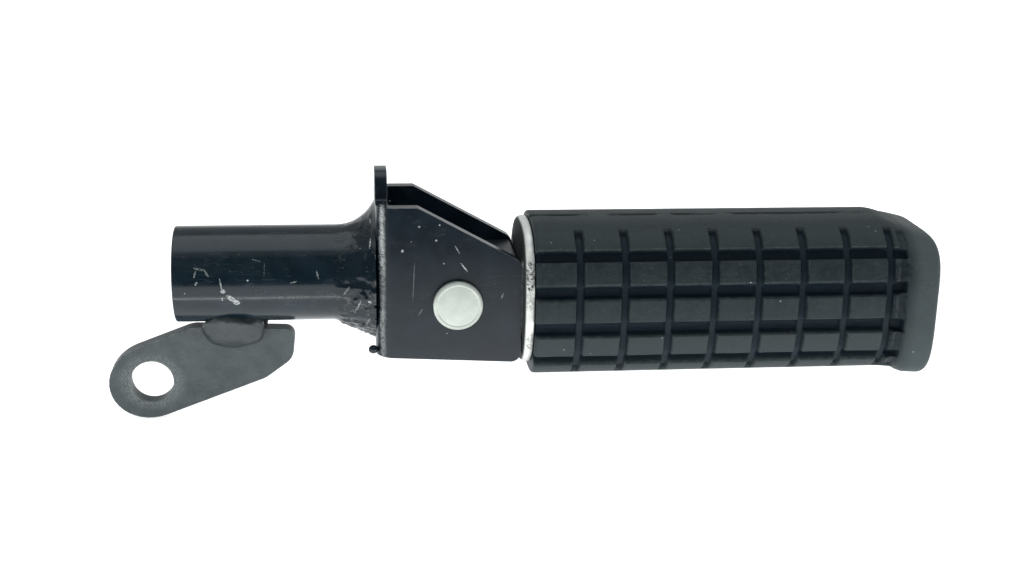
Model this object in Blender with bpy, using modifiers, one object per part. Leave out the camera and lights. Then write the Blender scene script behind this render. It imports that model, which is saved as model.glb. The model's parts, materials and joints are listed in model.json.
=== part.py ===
"""Folding foot peg of a motorcycle: clamp-on tube, bent clevis, hinge pin and rubber-covered step.

Frame: X runs along the tube from its open end towards the step, Y away from the side that shows the
pin's head, Z up. The origin is the centre of the tube's open end. Lengths below are millimetres.
"""
import math

import bmesh
import bpy
from mathutils import Matrix, Vector

MM = 0.001
GAP = 0.3

TUBE_RADIUS = 12.7
TUBE_BORE_RADIUS = 9.6
TUBE_LENGTH = 51.9

PIVOT_X = 73.4
PIVOT_Z = -5.25

SHEET = 3.2
WEB_OUTER_X = -21.2
EAR_OUTER_Y = 14.1
EAR_INNER_Y = EAR_OUTER_Y - SHEET
BEND_OUTER_RADIUS = 4.4
EAR_END_X = 16.8
EAR_TOP_Z = 26.0
EAR_FLAT_END_X = -10.4
EAR_SLOPE_END_Z = 11.2
EAR_BOTTOM_LEFT_Z = -14.3
EAR_BOTTOM_RIGHT_Z = -16.4
EAR_CORNER_RADIUS = 3.0
TAB_TOP_Z = 33.5
TAB_HALF_WIDTH = 6.0

WELD_START_X = 43.4
WELD_SIDE_RADIUS = 13.9
WELD_TOP_RADIUS = 19.6
WELD_BOTTOM_RADIUS = 16.6

ARM_THICKNESS = 4.4
ARM_EYE_X = -7.6
ARM_EYE_Z = -29.45
ARM_EYE_RADIUS = 5.7
ARM_EYE_LENGTH = 11.5
ARM_EYE_WIDTH = 10.25
ARM_SLOPE = 20.6

PIN_HEAD_RADIUS = 6.5
PIN_HEAD_THICKNESS = 1.8
PIN_RADIUS = 4.0
PIN_TAIL_Y = 20.6
SPLIT_PIN_Y = 18.1
WASHER_RADIUS = 7.2
WASHER_THICKNESS = 1.5

LUG_HALF_WIDTH = 10.5
LUG_NOSE_RADIUS = 16.2
LUG_BOTTOM_Z = -13.4
LUG_TOP_Z = 10.8
BAR_RADIUS = 8.0
BAR_TENON_RADIUS = 5.0

PLATE_START_X = 17.1
PLATE_THICKNESS = 2.7
PLATE_HALF_DEPTH = 18.0
PLATE_HALF_HEIGHT = 19.3
PLATE_MIDDLE_Z = 0.0
PLATE_POWER = 2.6
SLOT_BOTTOM_Z = -9.2
SLOT_TOP_Z = 10.9

SECTION_Z = -1.1
RUBBER_START_X = 20.1
RUBBER_END_X = 129.0
RUBBER_HALF_DEPTH = 19.4
RUBBER_HALF_HEIGHT = 20.9
RUBBER_POWER = 3.0
TOP_FALL_X = 115.0
TOP_FALL_SLOPE = 0.28
GROOVE_DEPTH = 2.0
GROOVE_FIRST_X = 31.8
GROOVE_PITCH = 11.9
GROOVE_COUNT = 8
GROOVE_HALF_WIDTH = 0.95
END_PLATE_X = 115.0
END_PLATE_THICKNESS = 3.0
END_PLATE_RADIUS = 13.5


def clear_scene():
    """Empty the file so that only the part is left in it."""
    for item in list(bpy.data.objects):
        bpy.data.objects.remove(item, do_unlink=True)


def new_collection(name):
    """Add a collection to the scene."""
    collection = bpy.data.collections.new(name)
    bpy.context.scene.collection.children.link(collection)
    return collection


def material(name, colour, roughness, metallic):
    """Plain Principled finish."""
    finish = bpy.data.materials.new(name)
    finish.use_nodes = True
    shader = finish.node_tree.nodes["Principled BSDF"]
    shader.inputs["Base Color"].default_value = (*colour, 1.0)
    shader.inputs["Roughness"].default_value = roughness
    shader.inputs["Metallic"].default_value = metallic
    finish.diffuse_color = (*colour, 1.0)
    return finish


def add_object(name, mesh, collection, finish=None):
    """Put a mesh into a collection under its own name."""
    item = bpy.data.objects.new(name, mesh)
    collection.objects.link(item)
    if finish is not None:
        mesh.materials.clear()
        mesh.materials.append(finish)
    return item


def weld_and_orient(mesh):
    """Join doubled points and turn every face outwards."""
    work = bmesh.new()
    work.from_mesh(mesh)
    bmesh.ops.remove_doubles(work, verts=work.verts, dist=0.000001)
    bmesh.ops.recalc_face_normals(work, faces=work.faces)
    work.to_mesh(mesh)
    work.free()
    mesh.update()


def shade(item, smooth_angle=35.0):
    """Smooth the round faces and keep real edges sharp."""
    work = bmesh.new()
    work.from_mesh(item.data)
    for face in work.faces:
        face.smooth = True
    for edge in work.edges:
        edge.smooth = edge.calc_face_angle(0.0) < math.radians(smooth_angle)
    work.to_mesh(item.data)
    work.free()


def baked(item, finish=None):
    """Apply the object's modifiers and placement and keep one plain mesh."""
    bpy.context.view_layer.update()
    graph = bpy.context.evaluated_depsgraph_get()
    mesh = bpy.data.meshes.new_from_object(item.evaluated_get(graph))
    mesh.transform(item.matrix_world)
    name = item.name
    collection = item.users_collection[0]
    bpy.data.objects.remove(item, do_unlink=True)
    weld_and_orient(mesh)
    mesh.name = name
    result = add_object(name, mesh, collection, finish)
    shade(result)
    return result


def arc(centre, radius, start, end, steps):
    """Points of an arc, angles in degrees, both ends included."""
    points = []
    for index in range(steps + 1):
        angle = math.radians(start + (end - start) * index / steps)
        points.append((centre[0] + radius * math.cos(angle), centre[1] + radius * math.sin(angle)))
    return points


def rounded(corners, steps=5):
    """Closed outline with every corner (x, y, radius) rounded."""
    points = []
    count = len(corners)
    for index, (x, y, radius) in enumerate(corners):
        here = Vector((x, y))
        if radius <= 0.0:
            points.append((x, y))
            continue
        before = (Vector(corners[index - 1][:2]) - here).normalized()
        after = (Vector(corners[(index + 1) % count][:2]) - here).normalized()
        half = before.angle(after) / 2.0
        middle = here + (before + after).normalized() * radius / math.sin(half)
        first = here + before * radius / math.tan(half) - middle
        turn = math.pi - 2.0 * half
        side = 1.0 if before.cross(after) < 0.0 else -1.0
        for step in range(steps + 1):
            angle = side * turn * step / steps
            spun = Matrix.Rotation(angle, 2) @ first
            points.append(tuple(middle + spun))
    return points


def prism(name, outlines, half_length, axis, collection, centre=(0.0, 0.0, 0.0)):
    """Flat outline with holes pushed out both ways along X, Y or Z."""
    curve = bpy.data.curves.new(name, "CURVE")
    curve.dimensions = "2D"
    curve.fill_mode = "BOTH"
    curve.extrude = half_length * MM
    for outline in outlines:
        spline = curve.splines.new("POLY")
        spline.points.add(len(outline) - 1)
        spline.use_cyclic_u = True
        for point, (x, y) in zip(spline.points, outline):
            point.co = (x * MM, y * MM, 0.0, 1.0)
    item = bpy.data.objects.new(name, curve)
    collection.objects.link(item)
    turns = {
        "Y": Matrix.Rotation(math.pi / 2.0, 4, "X"),
        "X": Matrix(((0, 0, 1, 0), (1, 0, 0, 0), (0, 1, 0, 0), (0, 0, 0, 1))),
        "Z": Matrix.Identity(4),
    }
    item.matrix_world = Matrix.Translation(Vector(centre) * MM) @ turns[axis]
    return baked(item)


def lathe(name, profile, axis, steps, collection, centre=(0.0, 0.0, 0.0), closed=False):
    """Profile of (radius, height) points, from the top down, spun about X, Y or Z."""
    mesh = bpy.data.meshes.new(name)
    points = [(radius * MM, 0.0, height * MM) for radius, height in profile]
    edges = [(index, index + 1) for index in range(len(points) - 1)]
    if closed:
        edges.append((len(points) - 1, 0))
    mesh.from_pydata(points, edges, [])
    item = add_object(name, mesh, collection)
    screw = item.modifiers.new("spin", "SCREW")
    screw.axis = "Z"
    screw.steps = steps
    screw.render_steps = steps
    screw.use_merge_vertices = True
    screw.merge_threshold = 0.00001
    turns = {
        "X": Matrix.Rotation(math.pi / 2.0, 4, "Y"),
        "Y": Matrix.Rotation(-math.pi / 2.0, 4, "X"),
        "Z": Matrix.Identity(4),
    }
    item.matrix_world = Matrix.Translation(Vector(centre) * MM) @ turns[axis]
    return baked(item)


def loft(name, rings, collection, closed_tube=False):
    """Skin through rings of equal point count; ends are capped unless the skin closes on itself."""
    work = bmesh.new()
    rows = [[work.verts.new(Vector(point) * MM) for point in ring] for ring in rings]
    count = len(rows[0])
    pairs = list(zip(rows, rows[1:]))
    if closed_tube:
        pairs.append((rows[-1], rows[0]))
    for low, high in pairs:
        for index in range(count):
            after = (index + 1) % count
            work.faces.new((low[index], low[after], high[after], high[index]))
    if not closed_tube:
        work.faces.new(list(reversed(rows[0])))
        work.faces.new(rows[-1])
    bmesh.ops.recalc_face_normals(work, faces=work.faces)
    mesh = bpy.data.meshes.new(name)
    work.to_mesh(mesh)
    work.free()
    item = add_object(name, mesh, collection)
    shade(item)
    return item


def box(name, low, high, collection):
    """Block between two corners."""
    work = bmesh.new()
    bmesh.ops.create_cube(work, size=1.0)
    size = [(high[axis] - low[axis]) * MM for axis in range(3)]
    middle = [(high[axis] + low[axis]) / 2.0 * MM for axis in range(3)]
    bmesh.ops.scale(work, vec=size, verts=work.verts)
    bmesh.ops.translate(work, vec=middle, verts=work.verts)
    mesh = bpy.data.meshes.new(name)
    work.to_mesh(mesh)
    work.free()
    return add_object(name, mesh, collection)


def rod(name, radius, start, end, axis, centre, collection, steps=40):
    """Plain round bar between two heights on an axis."""
    profile = [(0.0, end), (radius, end), (radius, start), (0.0, start)]
    return lathe(name, profile, axis, steps, collection, centre)


def combine(item, cutters, operation):
    """Boolean an object with each cutter in turn."""
    for cutter in cutters:
        step = item.modifiers.new(cutter.name, "BOOLEAN")
        step.operation = operation
        step.solver = "EXACT"
        step.object = cutter
        cutter.hide_render = True
        cutter.display_type = "WIRE"


def finish_part(item, finish):
    """Bake the Booleans and give the piece its finish."""
    return baked(item, finish)


def superellipse(half_depth, half_height, power, count, x, z_middle):
    """Ring of points in a plane across X, evenly spread along the outline."""
    fine = []
    for index in range(count * 16):
        angle = 2.0 * math.pi * index / (count * 16)
        cosine = math.cos(angle)
        sine = math.sin(angle)
        y = -half_depth * math.copysign(abs(cosine) ** (2.0 / power), cosine)
        z = half_height * math.copysign(abs(sine) ** (2.0 / power), sine)
        fine.append(Vector((y, z)))
    lengths = [0.0]
    for index in range(len(fine)):
        lengths.append(lengths[-1] + (fine[(index + 1) % len(fine)] - fine[index]).length)
    ring = []
    place = 0
    for index in range(count):
        goal = lengths[-1] * index / count
        while lengths[place + 1] < goal:
            place += 1
        share = (goal - lengths[place]) / (lengths[place + 1] - lengths[place])
        point = fine[place].lerp(fine[(place + 1) % len(fine)], share)
        ring.append((x, point.x, z_middle + point.y))
    return ring


def at_pivot(points):
    """Move (x, z) points from the hinge's own frame to the part's."""
    return [(x + PIVOT_X, z + PIVOT_Z) for x, z in points]


def make_tube(parts, paint):
    """Tube that slides over the machine's cross bar."""
    profile = [
        (TUBE_BORE_RADIUS, TUBE_LENGTH),
        (TUBE_RADIUS - 0.4, TUBE_LENGTH),
        (TUBE_RADIUS, TUBE_LENGTH - 0.4),
        (TUBE_RADIUS, 0.5),
        (TUBE_RADIUS - 0.5, 0.0),
        (TUBE_BORE_RADIUS + 0.3, 0.0),
        (TUBE_BORE_RADIUS, 0.3),
    ]
    tube = lathe("mount_tube", profile, "X", 64, parts, closed=True)
    tube.data.materials.append(paint)
    return tube


def make_clevis(parts, cutters, paint):
    """Bracket bent from one sheet: a web across the tube, two ears and a tab above the web."""
    web_x = WEB_OUTER_X + PIVOT_X
    end_x = EAR_END_X + PIVOT_X
    inner_bend = BEND_OUTER_RADIUS - SHEET
    plan = rounded([
        (end_x + 5.0, -EAR_OUTER_Y, 0.0),
        (end_x + 5.0, -EAR_INNER_Y, 0.0),
        (web_x + SHEET, -EAR_INNER_Y, inner_bend),
        (web_x + SHEET, EAR_INNER_Y, inner_bend),
        (end_x + 5.0, EAR_INNER_Y, 0.0),
        (end_x + 5.0, EAR_OUTER_Y, 0.0),
        (web_x, EAR_OUTER_Y, BEND_OUTER_RADIUS),
        (web_x, -EAR_OUTER_Y, BEND_OUTER_RADIUS),
    ], 6)
    clevis = prism("clevis_bracket", [plan], 40.0, "Z", parts, (0.0, 0.0, 5.0))
    side = rounded([
        (web_x - 2.0, EAR_BOTTOM_LEFT_Z + PIVOT_Z, 0.0),
        (end_x, EAR_BOTTOM_RIGHT_Z + PIVOT_Z, 2.4),
        (end_x, EAR_SLOPE_END_Z + PIVOT_Z, EAR_CORNER_RADIUS),
        (EAR_FLAT_END_X + PIVOT_X, EAR_TOP_Z + PIVOT_Z, 1.2),
        (web_x + SHEET + 0.02, EAR_TOP_Z + PIVOT_Z, 0.0),
        (web_x + SHEET + 0.02, TAB_TOP_Z + PIVOT_Z + 1.0, 0.0),
        (web_x - 2.0, TAB_TOP_Z + PIVOT_Z + 1.0, 0.0),
    ])
    outline = prism("side_outline", [side], 30.0, "Y", cutters)
    shoulder = EAR_TOP_Z + PIVOT_Z
    peak = TAB_TOP_Z + PIVOT_Z
    around_tab = rounded([
        (-22.0, shoulder, 0.0),
        (-TAB_HALF_WIDTH, shoulder, 1.2),
        (-TAB_HALF_WIDTH, peak, 3.5),
        (TAB_HALF_WIDTH, peak, 3.5),
        (TAB_HALF_WIDTH, shoulder, 1.2),
        (22.0, shoulder, 0.0),
        (22.0, peak + 14.0, 0.0),
        (-22.0, peak + 14.0, 0.0),
    ])
    waste = prism("tab_waste", [around_tab], 6.0, "X", cutters, (web_x + 1.0, 0.0, 0.0))
    bore = rod("ear_bore", PIN_RADIUS + GAP, -30.0, 30.0, "Y", (PIVOT_X, 0.0, PIVOT_Z), cutters)
    combine(clevis, [outline], "INTERSECT")
    combine(clevis, [waste, bore], "DIFFERENCE")
    return finish_part(clevis, paint)


def make_tube_weld(parts, paint):
    """Heavy fillet that flares from the tube out to the web."""
    web_face = WEB_OUTER_X + PIVOT_X - GAP
    count = 56
    inner = TUBE_RADIUS + GAP
    rings = []
    for x in (web_face, WELD_START_X):
        rings.append([(x, inner * math.cos(2.0 * math.pi * i / count),
                       inner * math.sin(2.0 * math.pi * i / count)) for i in range(count)])
    for step in range(8):
        share = step / 7.0
        x = WELD_START_X + (web_face - WELD_START_X) * share
        ring = []
        for index in range(count):
            angle = 2.0 * math.pi * index / count
            up = math.sin(angle)
            reach = WELD_TOP_RADIUS if up > 0.0 else WELD_BOTTOM_RADIUS
            end = 1.0 / math.hypot(math.cos(angle) / WELD_SIDE_RADIUS, up / reach)
            bulge = 2.6 if up > 0.0 else 1.3
            radius = inner + 0.45 + (end - inner - 0.45) * share ** bulge
            ring.append((x, radius * math.cos(angle), radius * up))
        rings.append(ring)
    weld = loft("tube_weld", rings, parts, closed_tube=True)
    weld.data.materials.append(paint)
    return weld


def make_arm(parts, steel):
    """Flat locating arm under the tube with a bolt eye at its low end."""
    slope = math.radians(ARM_SLOPE)
    along = Vector((math.cos(slope), math.sin(slope)))
    across = Vector((-math.sin(slope), math.cos(slope)))
    eye = Vector((ARM_EYE_X, ARM_EYE_Z))
    outline = []
    for index in range(21):
        angle = math.radians(90.0 + 180.0 * index / 20)
        point = eye + along * ARM_EYE_LENGTH * math.cos(angle) + across * ARM_EYE_WIDTH * math.sin(angle)
        outline.append(tuple(point))
    low = eye - across * ARM_EYE_WIDTH
    high = eye + across * ARM_EYE_WIDTH
    shoulder_x = 3.6
    reach = (shoulder_x - high.x) / along.x
    outline += rounded([
        (low.x, low.y, 0.0),
        (22.6, low.y + (22.6 - low.x) * math.tan(slope), 7.0),
        (30.0, -23.6, 5.0),
        (30.9, -15.2, 2.6),
        (shoulder_x, high.y + reach * along.y + 0.1, 7.0),
        (high.x, high.y, 0.0),
    ], 5)[1:-1]
    hole = arc((ARM_EYE_X, ARM_EYE_Z), ARM_EYE_RADIUS, 0.0, 360.0, 36)[:-1]
    arm = prism("locating_arm", [outline, hole], ARM_THICKNESS / 2.0, "Y", parts)
    arm.data.materials.append(steel)
    return arm


def make_arm_weld(parts, cutters, steel):
    """Lump of weld that joins the arm to the underside of the tube on both sides."""
    work = bmesh.new()
    bmesh.ops.create_uvsphere(work, u_segments=32, v_segments=20, radius=1.0)
    bmesh.ops.scale(work, vec=(8.0 * MM, 7.4 * MM, 5.6 * MM), verts=work.verts)
    bmesh.ops.translate(work, vec=(14.8 * MM, 0.0, -15.1 * MM), verts=work.verts)
    mesh = bpy.data.meshes.new("arm_weld")
    work.to_mesh(mesh)
    work.free()
    weld = add_object("arm_weld", mesh, parts)
    tube = rod("tube_room", TUBE_RADIUS + GAP, -5.0, 60.0, "X", (0.0, 0.0, 0.0), cutters, 64)
    half = ARM_THICKNESS / 2.0 + GAP
    arm = box("arm_room", (-10.0, -half, -40.0), (40.0, half, -13.4), cutters)
    combine(weld, [tube, arm], "DIFFERENCE")
    return finish_part(weld, steel)


def make_pin(parts, cutters, zinc):
    """Clevis pin with a flat head in front and a cross hole in its tail."""
    head = -(EAR_OUTER_Y + GAP)
    front = head - PIN_HEAD_THICKNESS
    profile = [
        (0.0, PIN_TAIL_Y),
        (PIN_RADIUS - 0.6, PIN_TAIL_Y),
        (PIN_RADIUS, PIN_TAIL_Y - 0.6),
        (PIN_RADIUS, head),
        (PIN_HEAD_RADIUS - 0.2, head),
        (PIN_HEAD_RADIUS, head - 0.2),
        (PIN_HEAD_RADIUS, front + 0.55),
        (PIN_HEAD_RADIUS - 0.55, front),
        (0.0, front),
    ]
    pin = lathe("hinge_pin", profile, "Y", 48, parts, (PIVOT_X, 0.0, PIVOT_Z))
    hole = rod("split_pin_hole", 1.45, -10.0, 10.0, "Z", (PIVOT_X, SPLIT_PIN_Y, PIVOT_Z), cutters, 24)
    combine(pin, [hole], "DIFFERENCE")
    return finish_part(pin, zinc)


def make_washer(parts, zinc):
    """Flat washer between the rear ear and the split pin."""
    low = EAR_OUTER_Y + GAP
    high = low + WASHER_THICKNESS
    profile = [
        (PIN_RADIUS + GAP, high),
        (WASHER_RADIUS - 0.25, high),
        (WASHER_RADIUS, high - 0.25),
        (WASHER_RADIUS, low + 0.1),
        (WASHER_RADIUS - 0.1, low),
        (PIN_RADIUS + GAP, low),
    ]
    washer = lathe("pin_washer", profile, "Y", 40, parts, (PIVOT_X, 0.0, PIVOT_Z), closed=True)
    washer.data.materials.append(zinc)
    return washer


def make_split_pin(parts, zinc):
    """Folded wire through the pin's tail: an eye above and two legs spread below."""
    wire = 0.5
    half = 0.72
    path = [(-4.6, -6.9), (-2.6, -6.6), (-1.0, -5.6), (-half, -4.3), (-half, 0.0), (-half, 4.4)]
    path += arc((0.0, 6.6), 2.0, 222.0, -42.0, 14)
    path += [(half, 4.4), (half, 0.0), (half, -4.3), (1.0, -5.6), (2.2, -6.8), (3.8, -7.6)]
    curve = bpy.data.curves.new("split_pin", "CURVE")
    curve.dimensions = "3D"
    curve.bevel_depth = wire * MM
    curve.bevel_resolution = 2
    curve.use_fill_caps = True
    spline = curve.splines.new("POLY")
    spline.points.add(len(path) - 1)
    for point, (x, z) in zip(spline.points, path):
        point.co = (x * MM, 0.0, z * MM, 1.0)
    item = bpy.data.objects.new("split_pin", curve)
    parts.objects.link(item)
    item.location = Vector((PIVOT_X, SPLIT_PIN_Y, PIVOT_Z)) * MM
    return baked(item, zinc)


def make_lug(parts, cutters, paint):
    """Forged tongue of the step, rounded about the pin, with a socket for the bar."""
    start = 180.0 - math.degrees(math.asin(LUG_TOP_Z / LUG_NOSE_RADIUS))
    outline = arc((0.0, 0.0), LUG_NOSE_RADIUS, start, 235.8, 22)
    outline += [(EAR_END_X - 1.0, LUG_BOTTOM_Z), (EAR_END_X, LUG_BOTTOM_Z + 1.0)]
    outline += [(EAR_END_X, LUG_TOP_Z - 1.0), (EAR_END_X - 1.0, LUG_TOP_Z)]
    hole = arc((0.0, 0.0), PIN_RADIUS + GAP, 0.0, 360.0, 36)[:-1]
    lug = prism("peg_lug", [at_pivot(outline), at_pivot(hole)], LUG_HALF_WIDTH, "Y", parts)
    socket = rod("bar_socket", BAR_RADIUS + GAP, 12.2, 30.0, "X", (PIVOT_X, 0.0, PIVOT_Z + SECTION_Z), cutters, 48)
    combine(lug, [socket], "DIFFERENCE")
    return finish_part(lug, paint)


def make_bar(parts, paint):
    """Round bar inside the rubber, with a tenon for the end plate."""
    end = END_PLATE_X + END_PLATE_THICKNESS
    profile = [
        (0.0, end + 0.8),
        (BAR_TENON_RADIUS - 0.8, end + 0.8),
        (BAR_TENON_RADIUS, end),
        (BAR_TENON_RADIUS, END_PLATE_X - GAP),
        (BAR_RADIUS, END_PLATE_X - GAP),
        (BAR_RADIUS, 12.5),
        (0.0, 12.5),
    ]
    bar = lathe("peg_bar", profile, "X", 48, parts, (PIVOT_X, 0.0, PIVOT_Z + SECTION_Z))
    bar.data.materials.append(paint)
    return bar


def make_end_plate(parts, paint):
    """Disc riveted on the bar's end, which keeps the rubber from sliding off."""
    high = END_PLATE_X + END_PLATE_THICKNESS
    profile = [
        (BAR_TENON_RADIUS + GAP, high),
        (END_PLATE_RADIUS - 0.6, high),
        (END_PLATE_RADIUS, high - 0.6),
        (END_PLATE_RADIUS, END_PLATE_X + 0.6),
        (END_PLATE_RADIUS - 0.6, END_PLATE_X),
        (BAR_TENON_RADIUS + GAP, END_PLATE_X),
    ]
    centre = (PIVOT_X, 0.0, PIVOT_Z + SECTION_Z)
    plate = lathe("bar_end_plate", profile, "X", 48, parts, centre, closed=True)
    plate.data.materials.append(paint)
    return plate


def make_stop_plate(parts, cutters, zinc):
    """Plated plate at the root of the rubber that rests on the ends of the ears."""
    start = PIVOT_X + PLATE_START_X
    end = start + PLATE_THICKNESS
    middle = PIVOT_Z + PLATE_MIDDLE_Z
    rings = []
    for inset, depth in ((1.6, 0.0), (0.9, 0.2), (0.38, 0.6), (0.08, 1.15), (0.0, 1.7)):
        rings.append(superellipse(PLATE_HALF_DEPTH - inset, PLATE_HALF_HEIGHT - inset, PLATE_POWER, 72,
                                  start + depth, middle))
    rings.append(superellipse(PLATE_HALF_DEPTH, PLATE_HALF_HEIGHT, PLATE_POWER, 72, end - 0.3, middle))
    rings.append(superellipse(PLATE_HALF_DEPTH - 0.3, PLATE_HALF_HEIGHT - 0.3, PLATE_POWER, 72, end, middle))
    plate = loft("stop_plate", rings, parts)
    hole = rod("bar_room", BAR_RADIUS + GAP, start - 10.0, end + 10.0, "X",
               (0.0, 0.0, PIVOT_Z + SECTION_Z), cutters, 48)
    slots = []
    for side in (-1.0, 1.0):
        edges = sorted((side * (EAR_INNER_Y - 0.4), side * (EAR_OUTER_Y + 0.4)))
        low = (start - 4.0, edges[0], PIVOT_Z + SLOT_BOTTOM_Z)
        high = (end + 4.0, edges[1], PIVOT_Z + SLOT_TOP_Z)
        slots.append(box("ear_slot", low, high, cutters))
    combine(plate, [hole] + slots, "DIFFERENCE")
    return finish_part(plate, zinc)


def rubber_rows(perimeter):
    """Places along the outline where the blocks' rows begin and end, one quarter after another.

    Each entry is (distance, raised): a row is centred on the middle of the side, two more lie above
    it and two below, and a smooth pad closes the top and the bottom.
    """
    quarter = perimeter / 4.0
    slope = 0.45
    marks = [(0.0, True), (3.1 - slope / 2, True), (3.1 + slope / 2, False), (5.0, False)]
    marks += [(6.9 - slope / 2, False), (6.9 + slope / 2, True), (10.0, True)]
    marks += [(13.2 - slope / 2, True), (13.2 + slope / 2, False)]
    marks += [(16.2 - slope / 2, False), (16.2 + slope / 2, True), (19.0, True)]
    marks += [(21.8, True), (26.0, True), (30.0, True)]
    full = []
    for turn in range(2):
        base = turn * 2.0 * quarter
        full += [(base + distance, up) for distance, up in marks]
        full.append((base + quarter, True))
        full += [(base + 2.0 * quarter - distance, up) for distance, up in reversed(marks[1:])]
    mirrored = []
    for distance, up in full:
        mirrored.append((distance % perimeter, up))
    return mirrored


def top_share(x):
    """Height of the rubber's top at x as a share of its full height; the top falls away to the end."""
    run = max(0.0, x - PIVOT_X - TOP_FALL_X)
    fall = TOP_FALL_SLOPE * run * min(1.0, 0.4 + run / 8.0)
    return 1.0 - fall / RUBBER_HALF_HEIGHT


def rubber_ring(x, grooved, scale, shift):
    """One ring of the rubber; grooves sink the outline between the rows."""
    fine = superellipse(RUBBER_HALF_DEPTH, RUBBER_HALF_HEIGHT, RUBBER_POWER, 720, x, 0.0)
    outline = [Vector((point[1], point[2])) for point in fine]
    step = sum((outline[(i + 1) % 720] - outline[i]).length for i in range(720)) / 720.0
    ring = []
    for distance, raised in rubber_rows(step * 720.0):
        place = int(round(distance / step)) % 720
        here = outline[place]
        along = (outline[(place + 1) % 720] - outline[place - 1]).normalized()
        inward = Vector((-along.y, along.x))
        if inward.dot(here) > 0.0:
            inward.negate()
        pad = 21.0 < min(distance % (step * 360.0), step * 360.0 - distance % (step * 360.0))
        sink = 0.0
        if not raised or (grooved and not pad):
            sink = GROOVE_DEPTH
        point = here * scale + inward * (sink + shift)
        if point.y > 0.0:
            point.y *= top_share(x)
        ring.append((x, point.x, PIVOT_Z + SECTION_Z + point.y))
    return ring


def make_rubber(parts, cutters, rubber):
    """Rubber sleeve with five rows of blocks on each side and smooth pads above and below."""
    start = PIVOT_X + RUBBER_START_X
    end = PIVOT_X + RUBBER_END_X
    rings = [rubber_ring(start, False, 1.0, 0.9), rubber_ring(start + 0.7, False, 1.0, 0.0)]
    for index in range(GROOVE_COUNT):
        middle = PIVOT_X + GROOVE_FIRST_X + index * GROOVE_PITCH
        rings.append(rubber_ring(middle - GROOVE_HALF_WIDTH - 0.2, False, 1.0, 0.0))
        rings.append(rubber_ring(middle - GROOVE_HALF_WIDTH + 0.35, True, 1.0, 0.0))
        rings.append(rubber_ring(middle + GROOVE_HALF_WIDTH - 0.35, True, 1.0, 0.0))
        rings.append(rubber_ring(middle + GROOVE_HALF_WIDTH + 0.2, False, 1.0, 0.0))
    last = PIVOT_X + GROOVE_FIRST_X + (GROOVE_COUNT - 1) * GROOVE_PITCH
    count = 96
    half_depth = RUBBER_HALF_DEPTH
    half_height = RUBBER_HALF_HEIGHT
    rings.append(rubber_ring(last + 3.4, False, 1.0, 0.0))
    body = loft("rubber_cover", rings, parts)
    lip = []
    shape = ((last + 3.0, 1.6), (last + 4.4, 0.3), (last + 6.4, -0.5), (end - 4.5, -0.6), (end - 1.8, -0.3),
             (end - 0.6, 0.5), (end, 2.0))
    for x, inset in shape:
        power = RUBBER_POWER + 2.0 * max(0.0, x - shape[0][0]) / (end - shape[0][0])
        ring = superellipse(half_depth - inset * 0.6, half_height - inset, power, count, x, 0.0)
        lip.append([(x, y, PIVOT_Z + SECTION_Z + (z * top_share(x) if z > 0.0 else z)) for _, y, z in ring])
    cap = loft("end_lip", lip, cutters)
    centre = (PIVOT_X, 0.0, PIVOT_Z + SECTION_Z)
    bore = rod("rubber_bore", BAR_RADIUS + GAP, RUBBER_START_X - 5.0, END_PLATE_X, "X", centre, cutters, 48)
    pocket = rod("end_pocket", END_PLATE_RADIUS + GAP, END_PLATE_X - GAP, END_PLATE_X + END_PLATE_THICKNESS + 1.2,
                 "X", centre, cutters, 48)
    combine(body, [cap], "UNION")
    combine(body, [bore, pocket], "DIFFERENCE")
    return finish_part(body, rubber)


def make_motions(parts, fixed, moving):
    """Empties that carry the fixed pieces and the pieces that fold about the pin."""
    bracket = bpy.data.objects.new("bracket_body", None)
    fold = bpy.data.objects.new("peg_fold", None)
    for empty in (bracket, fold):
        empty.empty_display_size = 0.01
        parts.objects.link(empty)
    fold.parent = bracket
    fold.location = Vector((PIVOT_X, 0.0, PIVOT_Z)) * MM
    bpy.context.view_layer.update()
    for item in fixed:
        item.parent = bracket
    for item in moving:
        item.parent = fold
        item.matrix_parent_inverse = fold.matrix_world.inverted()
    return fold


def main():
    """Build every piece of the foot peg."""
    clear_scene()
    parts = new_collection("folding_foot_peg")
    cutters = new_collection("cutters")
    cutters.hide_render = True
    paint = material("gloss_black_paint", (0.022, 0.026, 0.030), 0.22, 0.0)
    steel = material("dark_phosphate_steel", (0.075, 0.083, 0.088), 0.5, 0.4)
    zinc = material("zinc_plate", (0.76, 0.77, 0.74), 0.28, 1.0)
    inner = material("black_paint_inner", (0.025, 0.028, 0.031), 0.45, 0.0)
    rubber = material("black_rubber", (0.032, 0.037, 0.040), 0.62, 0.0)
    fixed = [
        make_tube(parts, paint),
        make_clevis(parts, cutters, paint),
        make_tube_weld(parts, paint),
        make_arm(parts, steel),
        make_arm_weld(parts, cutters, steel),
        make_pin(parts, cutters, zinc),
        make_washer(parts, zinc),
        make_split_pin(parts, zinc),
    ]
    moving = [
        make_lug(parts, cutters, inner),
        make_bar(parts, inner),
        make_end_plate(parts, inner),
        make_stop_plate(parts, cutters, zinc),
        make_rubber(parts, cutters, rubber),
    ]
    make_motions(parts, fixed, moving)
    for item in fixed + moving:
        print(item.name, len(item.data.polygons), "faces")


main()
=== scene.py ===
# %% [markdown]
# # A folding foot peg, piece by piece
# The object is a step for a rider's foot. A steel tube slips over a cross bar, a bent bracket is welded
# to the tube, and a rubber-covered step folds up in the bracket on one pin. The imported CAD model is
# loaded first and is never moved: every visible piece below is made around it, in metres.

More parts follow.
